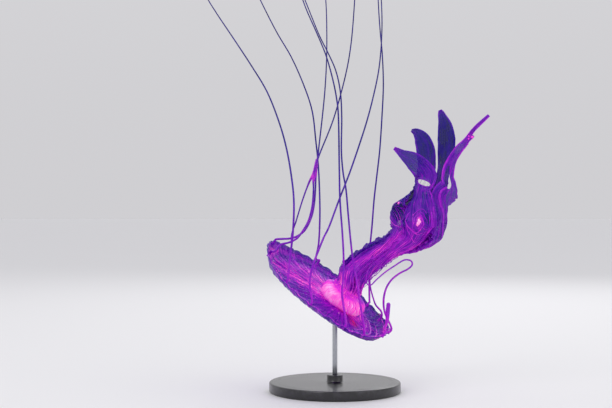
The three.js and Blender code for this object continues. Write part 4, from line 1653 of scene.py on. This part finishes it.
def make_arms(bundle: Bundle) -> list[OralArm]:
    """Sets out the four arms.

    Args:
        bundle: The bundle that they share.

    Returns:
        The arms.
    """
    return [
        OralArm(bundle, 1, -45, tip=(
            (89, -13, 217, -0.3, -1, 0, 11, 0.38, 0.76), (78.5, -14, 230, -0.1, -1, 0.2, 9, 0.24, 0.76),
            (66.5, -13, 238, 0.1, -1, 0.2, 4.5, 0.24, 0.8), (58.5, -12, 243.5, 0.1, -1, 0, 1.3, 0.42, 0.9)),
            windows=(Spot(8.47, 0.1, 0.15, 0.76), Spot(1.1, -0.74, 0.5, 0.1), Spot(1.6, -0.36, 0.5, 0.09)),
            patches=(Patch(6.05, 0.02, 0.4, 0.3, 0.16, 0.1), Patch(6.3, 0.5, 0.25, 0.2, -0.2, -0.1),
                     Patch(5.9, -0.95, 0.6, 0.35, -0.26, -0.3), Patch(5.2, 0.9, 0.5, 0.35, -0.14, -0.1),
                     Patch(7.6, 0.5, 0.3, 0.4, -0.14, 0.0)),
            knots=((6.28, 0.05, 0.9, 0.86), (6.2, 0.02, 1.3, 0.98), (6.12, 0.04, 1.6, 1.0),
                   (6.03, 0.0, 1.4, 0.98), (5.95, -0.03, 1.1, 0.92), (5.88, 0.0, 0.7, 0.86),
                   (6.0, -0.22, 0.6, 0.84), (6.5, -0.3, 0.5, 0.84), (5.7, 0.2, 0.5, 0.84)),
            rings=(Ring(6.1, 0.02, 0.26, 0.14, 0.3, 1.5), Ring(6.1, -0.04, 0.34, 0.22, 0.24, 1.2, 0.8),
                   Ring(6.1, 0.12, 0.45, 0.34, 0.16, 1.1), Ring(6.0, -0.12, 0.5, 0.42, 0.26, 1.5),
                   Ring(6.05, 0.14, 0.62, 0.5, 0.2, 1.3), Ring(6.1, -0.08, 0.7, 0.62, 0.24, 1.4, 0.5),
                   Ring(5.9, 0.05, 0.86, 0.78, 0.18, 1.3, 0.45), Ring(6.2, 0.4, 0.5, 0.3, 0.2, 1.1, 0.5),
                   Ring(8.47, 0.1, 0.17, 0.78, 0.16, 1.5, 1.0), Ring(6.0, 0.72, 0.6, 0.04, 0.2, 1.8, 1.0))),
        OralArm(bundle, 2, 45, tip=(
            (92, 7, 222, -0.3, 1, 0, 9.5, 0.24, 0.78), (92, 8, 240, -0.1, 1, 0, 9.5, 0.12, 0.86),
            (88.5, 9, 253, 0.1, 1, 0, 8, 0.12, 0.86), (83, 9, 260, 0.1, 1, 0.1, 4.5, 0.16, 0.84),
            (77.5, 9, 262.5, 0.1, 1, 0.1, 1.3, 0.28, 0.8)),
            windows=(Spot(8.44, -0.12, 0.2, 0.76), Spot(1.0, 0.22, 0.4, 0.08), Spot(1.25, 0.52, 0.6, 0.11),
                     Spot(0.9, 0.82, 0.5, 0.08)),
            patches=(Patch(5.5, 0.55, 0.8, 0.6, -0.34, -0.34),),
            flares=(Flare(6.2, -0.1, 1.2, 1.3, -4.5, 0, 2.0),),
            knots=((6.25, 0.62, 1.0, 0.9), (6.2, 0.66, 0.8, 0.86), (6.35, 0.4, 0.5, 0.8)),
            rings=(Ring(5.6, 0.35, 0.85, 0.75, 0.2, 1.4, 0.8), Ring(5.5, 0.5, 0.5, 0.3, 0.1, 1.1, 0.5))),
        OralArm(bundle, 3, 135, tip=(
            (109, 9, 214, 0.5, 1, 0, 6, 0.24, 0.78), (111, 11, 226, 0.3, 1, 0, 6.5, 0.12, 0.84),
            (113, 13, 240, 0.1, 1, 0, 8.5, 0.06, 0.86), (113.5, 14, 254, 0, 1, 0, 9, 0.06, 0.86),
            (112, 15, 268, 0, 1, 0, 7, 0.1, 0.86), (109, 15, 278, -0.1, 1, 0, 4, 0.16, 0.84),
            (107, 15, 283.5, -0.1, 1, 0, 1.4, 0.34, 0.9))),
        OralArm(bundle, 4, 225, tip=(
            (113, -14, 204, 0.4, -1, 0, 9.0, 0.38, 0.8), (111.8, -12, 216, 0.3, -1, 0, 6.2, 0.46, 0.88),
            (115.2, -11, 229, 0.3, -1, 0, 5.4, 0.46, 0.88), (122, -10, 241, 0.2, -1, 0, 4.3, 0.44, 0.85),
            (130.5, -9, 250.5, 0.2, -1, 0, 3.2, 0.46, 0.88), (138, -8, 262, 0.2, -1, 0, 1.9, 0.46, 0.92),
            (153.5, -7, 276.5, 0.2, -1, 0, 1.3, 0.46, 0.95)),
            windows=(Spot(9.8, -0.12, 0.95, 0.46),),
            patches=(Patch(6.0, 0.0, 0.9, 0.55, -0.16, -0.12), Patch(8.5, 0.7, 0.7, 0.5, 0.0, -0.04),
                     Patch(12.2, -0.1, 0.5, 0.7, -0.12, -0.16)),
            flares=(Flare(8.15, 1.0, 1.1, 1.1, 10, 0, 0), Flare(7.75, 1.0, 0.65, 1.1, 0, 0, -5),
                    Flare(8.65, 1.0, 0.5, 1.1, 0, 0, 4.5), Flare(13.4, 1.0, 0.3, 1.0, 3.4, 0, 1.6)),
            knots=((13.36, 0.6, 1.1, 0.84), (13.25, 0.2, 0.9, 0.8), (13.45, -0.2, 0.8, 0.74),
                   (12.9, 0.9, 0.7, 0.7), (8.1, 0.9, 0.6, 0.74)),
            rings=(Ring(6.0, -0.1, 0.7, 0.5, 0.2, 1.3, 0.4), Ring(7.5, -0.3, 1.2, 0.05, 0.2, 2.2, 1.0),
                   Ring(7.3, 0.2, 1.0, 0.04, 0.14, 1.6, 1.0))),
    ]


def build_arms(arms: Sequence[OralArm], shop: Workshop) -> None:
    """Builds and dresses the arms with the finishes that they share.

    Args:
        arms: The arms.
        shop: The shared node groups.
    """
    tissue = JellyFinish("oral_arm_tissue", streaks=0.24, clouds=0.12, cloud_size=7.0, glow=0.16,
                         gloss=0.4, relief=0.2).make(shop)
    strand = JellyFinish("oral_arm_strand", streaks=0.1, glow=0.22, relief=0.05, flow=Flow.OBJECT).make(shop)
    for arm in arms:
        arm.build(shop, tissue, strand)


# ------------------------------------ tentacles

@dataclass(frozen=True)
class Tentacle:
    """One tentacle: where it leaves the rim, the places it passes through, and its girth."""

    number: int
    rim_deg: float
    lengths: int
    route: Rows
    root_share: float = 0.95
    girths: tuple[float, ...] = (1.0, 1.0)
    tones: tuple[float, ...] = ()  # along it, in place of those by height
    # Swollen bright places: height above the floor, half length, and share.
    glows: Rows = ()


@dataclass
class Tentacles:
    """All the tentacles: beaded tapering threads that grow from the margin."""

    bell: Bell
    root_radius: float = 1.15
    tip_radius: float = 0.5
    root_rise: float = 5.0
    sink: float = 1.2  # how far a root goes into the bell
    spacing: float = 1.3
    foot_swell: float = 0.7  # how much thicker the root is
    foot_length: float = 2.2
    # Height above the floor, and the tone that a tentacle has there.
    tone_heights: tuple = (60, 120, 165, 205, 250, 330)
    tone_values: tuple = (0.66, 0.60, 0.44, 0.27, 0.14, 0.07)

    def line(self, tentacle: Tentacle) -> Line:
        """A tentacle's middle line, from inside the bell to its tip.

        Args:
            tentacle: The tentacle.

        Returns:
            Its line, with its girth and tone.
        """
        up = self.bell.axes.mouthward
        root = self.bell.on_mouth_side(tentacle.root_share, math.radians(tentacle.rim_deg))[0]
        stations = np.vstack([root - up * self.sink, root + up * self.root_rise, tentacle.route])
        along = even_shares(stations, self.spacing)
        along = np.append(along[:-1], 1 - (1 - along[-2]) * np.array([0.7, 0.45, 0.25, 0.1, 0.0]))
        points = curve_points(stations, along)
        tone = (spread(tentacle.tones, along) if tentacle.tones
                else np.interp(points[:, 2], self.tone_heights, self.tone_values))
        radius = self.root_radius + (self.tip_radius - self.root_radius) * along
        radius = radius * spread(tentacle.girths, along)
        mm = lengths_along(points)
        foot = 1 + self.foot_swell * np.exp(-mm / self.foot_length)
        left = np.clip((mm[-1] - mm) / radius, 0.02, 1)  # what is left to the tip, in radii
        swell = sum(share * np.exp(-((points[:, 2] - height) / half) ** 2)
                    for height, half, share in tentacle.glows)
        return Line(points, radius * foot * np.sqrt(left * (2 - left)) * (1 + 1.5 * swell),
                    tone + swell, 0.94)

    def build(self, tentacles: Sequence[Tentacle], shop: Workshop) -> None:
        """Builds and dresses the tentacles.

        Args:
            tentacles: The tentacles to make.
            shop: The shared node groups.
        """
        tissue = JellyFinish("tentacle_tissue", streaks=0.12, clouds=0.12, cloud_size=12.0, glow=0.2,
                             relief=0.12, coat=0.3, flow=Flow.OBJECT).make(shop)
        for tentacle in tentacles:
            name = f"tentacle_{tentacle.number}"
            hand_over(shop.weave(name, [self.line(tentacle)], 1.0, tissue, 0.06, 3.0, 12),
                      [f"{name}_part_{part}" for part in range(1, tentacle.lengths + 1)])


TENTACLES = (
    Tentacle(1, -125, 3, (
        (-44, -64, 139), (-41.5, -64, 160), (-40.5, -61, 188), (-42.5, -55, 211), (-47.5, -47, 240),
        (-55, -39, 267), (-67, -31, 297.5), (-83, -23, 324.5), (-101.5, -15, 353), (-119, -7, 379.5),
        (-131, -1, 400), (-143, 5, 428),
    )),
    Tentacle(2, 108, 3, (
        (-18.5, 58, 131), (-15.8, 55, 146), (-14.7, 49, 167), (-14.7, 43, 192), (-16.2, 35, 226),
        (-19, 27, 253.5), (-22.5, 19, 281.5), (-30, 11, 305), (-43, 1, 334), (-58.5, -11, 359.5),
        (-73, -21, 387), (-86, -29, 414),
    )),
    Tentacle(3, -45, 3, (
        (23.6, -54, 88.5), (21.8, -52, 101.5), (19, -50, 118), (16.2, -49, 134), (14.2, -47, 151),
        (12, -44, 175.5), (9.8, -40, 202), (7, -37, 219), (5.5, -34, 240.5), (6, -28, 273),
        (4.8, -24, 298), (0.5, -18, 319.5), (-7.3, -12, 338.5), (-16, -6, 357), (-28, 2, 388),
        (-38, 8, 414), (-49, 14, 442),
    )),
    Tentacle(4, -66, 3, (
        (5.2, -70, 102), (6.4, -69, 121), (6.6, -66, 139.5), (5.5, -62, 161.5), (3.5, -56, 192),
        (3, -50, 223.5), (2.4, -42, 272), (0.5, -37, 292), (-3.3, -34, 311), (-9.5, -30, 333.5),
        (-18.3, -26, 355.5), (-29, -22, 380.5), (-37, -19, 404), (-45, -17, 430),
    )),
    Tentacle(5, 172, 3, (
        (-59, 4, 152.5), (-52, 1, 153), (-45, -1, 153.5), (-37.5, -3, 156), (-30, -6, 162),
        (-24, -8, 174), (-21, -10, 187), (-19.6, -12, 204), (-19.4, -12, 217), (-17.9, -12, 229.5),
        (-16.5, -11, 242), (-12.5, -8, 277), (-10, -3, 303), (-8.4, 1, 331), (-8, 7, 359),
        (-8.6, 13, 389), (-11, 19, 420), (-15, 23, 446),
    ), root_share=0.97, glows=((217, 6, 0.4), (228, 8, 0.36), (180, 22, 0.1))),
    Tentacle(6, -165, 3, (
        (-59.8, -24, 141.5), (-54, -23, 148), (-46, -21, 150), (-38, -18, 154), (-32.5, -17, 161),
        (-26.5, -16.5, 171.5), (-22.8, -16.5, 186), (-21.6, -16.5, 202), (-21.6, -16.5, 214),
        (-19, -16.5, 227.5), (-14.5, -16, 240), (-1.5, -16, 273), (10, -18, 315), (15.5, -22, 347),
        (18.5, -28, 385), (19.5, -33, 412), (19, -37, 440),
    ), glows=((214, 5, 0.4), (226, 8, 0.3), (180, 22, 0.1))),
    Tentacle(7, -98, 3, (
        (-25.5, -73, 114.5), (-22.2, -73, 131), (-17, -70, 144.5), (-12.3, -67, 156), (-6.8, -62, 167),
        (2.7, -54, 192), (13.5, -44, 219), (24.4, -34, 250), (31.5, -26, 272), (37.8, -18, 295.5),
        (43, -10, 319), (46, -2, 342), (47.5, 4, 368), (47.2, 10, 394), (45.5, 16, 424), (44, 21, 450),
    )),
    Tentacle(8, 50, 3, (
        (37.4, 52, 87.5), (37, 50, 107.5), (36.8, 48, 127), (37.8, 46, 145), (39.6, 42, 166),
        (41.4, 38, 192), (43.8, 34, 215), (46.8, 30, 243.5), (49, 27, 279), (50.2, 25, 310),
        (49, 23, 340.5), (46.8, 24, 366), (45.3, 26, 391), (44.5, 28, 417), (46, 32, 444),
    )),
    Tentacle(9, 140, 2, (
        (-43.7, 37, 156.5), (-39.3, 29, 170), (-32.5, 13, 192), (-26.2, 1, 209), (-21.6, -7, 218.5),
        (-18.4, -8.8, 233),
    ), girths=(1, 0.9, 0.9, 0.9, 1.2, 2.4, 2.0), tones=(0.5, 0.5, 0.4, 0.34, 0.42, 0.72, 0.6)),
    Tentacle(10, -20, 1, (
        (48, -29.5, 65.5), (50.2, -30, 73), (51, -29, 81.5), (52, -28, 91.5),
    ), root_share=0.99, girths=(1, 0.95, 1.3, 2.2, 3.4, 4.2)),
    Tentacle(11, -6, 2, (
        (49.5, -10, 80), (48, -13, 92), (50, -16, 103.5), (55, -18, 112.5), (63, -21, 119.5),
        (71, -25, 124), (75.2, -27, 128.5), (73.5, -28, 132.5), (67, -28.5, 133), (58, -27.5, 127.5),
        (48.5, -27, 121), (40.5, -26, 114), (35, -25, 108.5), (31.5, -24, 109), (30, -24, 114),
        (31.6, -23.5, 121.5), (36, -23, 129),
    ), root_share=0.99),
    Tentacle(12, 28, 1, (
        (48, 28, 78), (42.5, 25, 84.5), (39.5, 23, 92.5), (37, 21, 102), (36.2, 20, 112),
        (37.5, 20, 122), (44, 21, 131.5),
    )),
)


# ------------------------------------ stand

@dataclass
class Stand:
    """The plain display stand: a round lacquered base and one steel rod with a pad."""

    axes: BellAxes
    base_radius: float = 66.0
    base_thickness: float = 10.0
    round_edge: float = 1.6
    boss_radius: float = 8.0
    boss_height: float = 7.0
    boss_round: float = 1.0
    groove_radius: float = 58.0
    groove_depth: float = 0.35
    rod_radius: float = 2.5
    socket_depth: float = 9.0
    clearance: float = 0.3
    pad_radius: float = 8.0
    pad_foot_radius: float = 6.8
    pad_thickness: float = 3.6
    ball_radius: float = 3.6
    ball_drop: float = 6.2
    around: int = 160

    def turned(self, name: str, profile: Sequence, material: Material,
               axis: Sequence[float] = (0, 0, 1.0), foot: Sequence[float] = (0, 0, 0)) -> Object:
        """Makes a turned piece from a profile.

        Args:
            name: The piece's name.
            profile: Each ring's radius and height, and 1 where its edge is worn; the first and the
                last ring close on the axis.
            material: The piece's finish.
            axis: The way that heights count.
            foot: The point of height 0 on the axis.

        Returns:
            The piece.
        """
        axis = np.array(axis)
        across = normalised(np.cross(axis, [0.3, 1, 0.2]))
        turn = TURN * np.arange(self.around)[:, None] / self.around
        circle = np.cos(turn) * across + np.sin(turn) * np.cross(axis, across)
        middles = [foot + ring[1] * axis for ring in profile]
        rings = [middle + ring[0] * circle for middle, ring in zip(middles, profile)]
        worn = np.repeat([sum(ring[2:]) for ring in profile], self.around)
        return right_side_out(mesh_object(
            name, np.vstack([*rings, middles[0], middles[-1]]), ring_faces(len(profile), self.around),
            {"edge": np.append(worn, [0, 0])}, material=material))

    @staticmethod
    def arc(radius: float, height: float, bend: float, start: float, end: float, steps: int = 6) -> list:
        """Points of a profile along an arc round one place, with angles in degrees from straight out."""
        return [(radius + bend * math.cos(math.radians(a)), height + bend * math.sin(math.radians(a)))
                for a in np.linspace(start, end, steps)]

    def base_profile(self) -> list:
        """Sets out the base with its boss, socket and one fine turned groove.

        Returns:
            Each ring's radius and height, and whether its edge is worn.
        """
        wide, boss, t, r = self.base_radius, self.boss_radius, self.base_thickness, self.round_edge
        groove, soft, bend = self.groove_radius, self.groove_depth, self.boss_round
        top, socket = t + self.boss_height, self.rod_radius + self.clearance
        floor = top - self.socket_depth
        profile = [
            (0.4, 0), (wide - r - 1, 0), *self.arc(wide - r, r, r, -90, 0),
            *self.arc(wide - r, t - r, r, 0, 90),
            *((groove + shift * soft, t - soft * (shift == 0)) for shift in (3, 1, 0, -1, -3)),
            (boss + 1.4, t), (boss + 0.6, t + 0.1), (boss, t + 0.8),
            *self.arc(boss - bend, top - bend, bend, 0, 90),
            (socket + 0.5, top), (socket, top - 0.5), (socket, floor), (0.4, floor)]
        return [(radius, height, (radius > wide - r and height > t / 2)
                 or (height > top - bend and radius > socket + 0.4)) for radius, height in profile]

    def rod_profile(self) -> list:
        """Sets out the rod with its ball.

        Returns:
            Each ring's radius and height.
        """
        foot = self.base_thickness + self.boss_height - self.socket_depth + self.clearance
        ball, rod = self.axes.apex_height - self.ball_drop, self.rod_radius
        waist = math.degrees(math.acos(rod / self.ball_radius))
        return [(0.3, foot), (rod - 0.4, foot), (rod, foot + 0.4), (rod, foot + 20), (rod, ball - 12),
                (rod + 0.01, ball - 3.2), *self.arc(0, ball, self.ball_radius, -waist, 88, 16)]

    def pad_profile(self) -> list:
        """Sets out the round pad under the apex.

        Returns:
            Each ring's radius and its height above the pad's foot.
        """
        t, r = self.pad_thickness, self.pad_radius
        return [(0.3, 0), (self.pad_foot_radius - 0.5, 0), (self.pad_foot_radius, 0.4),
                *self.arc(r - 0.6, t - 0.6, 0.6, -10, 90), (0.3, t)]

    def build(self, shop: Workshop) -> None:
        """Builds and dresses the stand.

        Args:
            shop: The shared node groups.
        """
        steel, lacquer = SteelFinish().make(shop), LacquerFinish().make(shop)
        pad_foot = self.axes.point(0, 0, -self.clearance - self.pad_thickness)
        hand_over(self.turned("stand_base_turned", self.base_profile(), lacquer),
                  ["stand_base"])
        hand_over(self.turned("stand_rod_turned", self.rod_profile(), steel), ["stand_rod"])
        hand_over(self.turned("stand_pad_turned", self.pad_profile(), steel, self.axes.mouthward, pad_foot))


# ------------------------------------ studio

@dataclass
class Studio:
    """The pale floor, the soft lights and the camera, in metres."""

    camera_place: tuple = (-0.029, -1.20385, 0.188)
    lens: float = 70.588
    floor_half: float = 14.0
    floor_shade: tuple = (0.8, 0.795, 0.81, 1.0)
    floor_gloss: float = 0.62
    floor_mottle: float = 0.15
    horizon_shade: tuple = (0.628, 0.622, 0.645, 1.0)
    zenith_shade: tuple = (0.80, 0.80, 0.82, 1.0)
    # Each light: name, place, what it looks at, size, watts.
    lights: tuple = (
        ("key_light", (-0.95, -1.15, 1.35), (0.0, 0.0, 0.16), 1.1, 8.0),
        ("fill_light", (1.35, -0.9, 0.8), (0.0, 0.0, 0.18), 1.3, 2.5),
        ("back_light", (0.35, 1.35, 1.15), (0.0, 0.0, 0.2), 1.0, 6.0),
    )

    def build_floor(self) -> None:
        """Makes the floor, which is not put on the body."""
        half = self.floor_half / MM
        floor = mesh_object("studio_floor", [(-half, -half, 0), (half, -half, 0), (half, half, 0),
                                             (-half, half, 0)], [(0, 1, 2, 3)], {})
        surface = Surface("pale_floor")
        mottle = surface.noise(surface.scaled(surface.place, 2.2), detail=3.0) * self.floor_mottle
        floor.data.materials.append(surface.finish({
            "Base Color": self.floor_shade, "Roughness": mottle + self.floor_gloss}))

    def build_lights(self) -> None:
        """Makes the soft area lights and the pale surroundings."""
        for name, place, target, size, watts in self.lights:
            lamp = bpy.data.lights.new(name, "AREA")
            lamp.size, lamp.energy = size, watts
            aim = (Vector(target) - Vector(place)).to_track_quat("-Z", "Y").to_euler()
            add_object(name, lamp, place, aim)
        world = bpy.data.worlds.new("soft_surroundings")
        world.use_nodes = True
        nodes = Nodes(world.node_tree)
        height = nodes.read("ShaderNodeSeparateXYZ", {
            0: nodes.read("ShaderNodeTexCoord", output="Generated")}, output="Z")
        nodes.plug(world.node_tree.nodes["Background"], {
            "Color": nodes.mix(height.ease(0.0, 0.7), self.horizon_shade, self.zenith_shade)})
        bpy.context.scene.world = world

    def build(self) -> None:
        """Builds the studio, with a level camera that looks along +Y."""
        self.build_floor()
        self.build_lights()
        lens = bpy.data.cameras.new("main_camera")
        lens.lens, lens.sensor_width, lens.clip_start, lens.clip_end = self.lens, 36.0, 0.01, 100.0
        scene = bpy.context.scene
        scene.camera = add_object("main_camera", lens, self.camera_place, (math.pi / 2, 0, 0))
        scene.view_settings.view_transform = "Standard"
        scene.cycles.transparent_max_bounces, scene.cycles.max_bounces = 48, 8


# ------------------------------------ the whole model


def main() -> None:
    """Builds the studio, the jellyfish and its stand, in order."""
    logging.basicConfig(level=logging.INFO, format="%(message)s")
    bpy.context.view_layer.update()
    Studio().build()
    shop, axes = Workshop(), BellAxes()
    bell = Bell(axes)
    bell.build(shop)
    Stomach(axes).build(shop)
    build_arms(make_arms(Bundle(axes)), shop)
    Tentacles(bell).build(TENTACLES, shop)
    Stand(axes).build(shop)


if __name__ == "__main__":
    main()
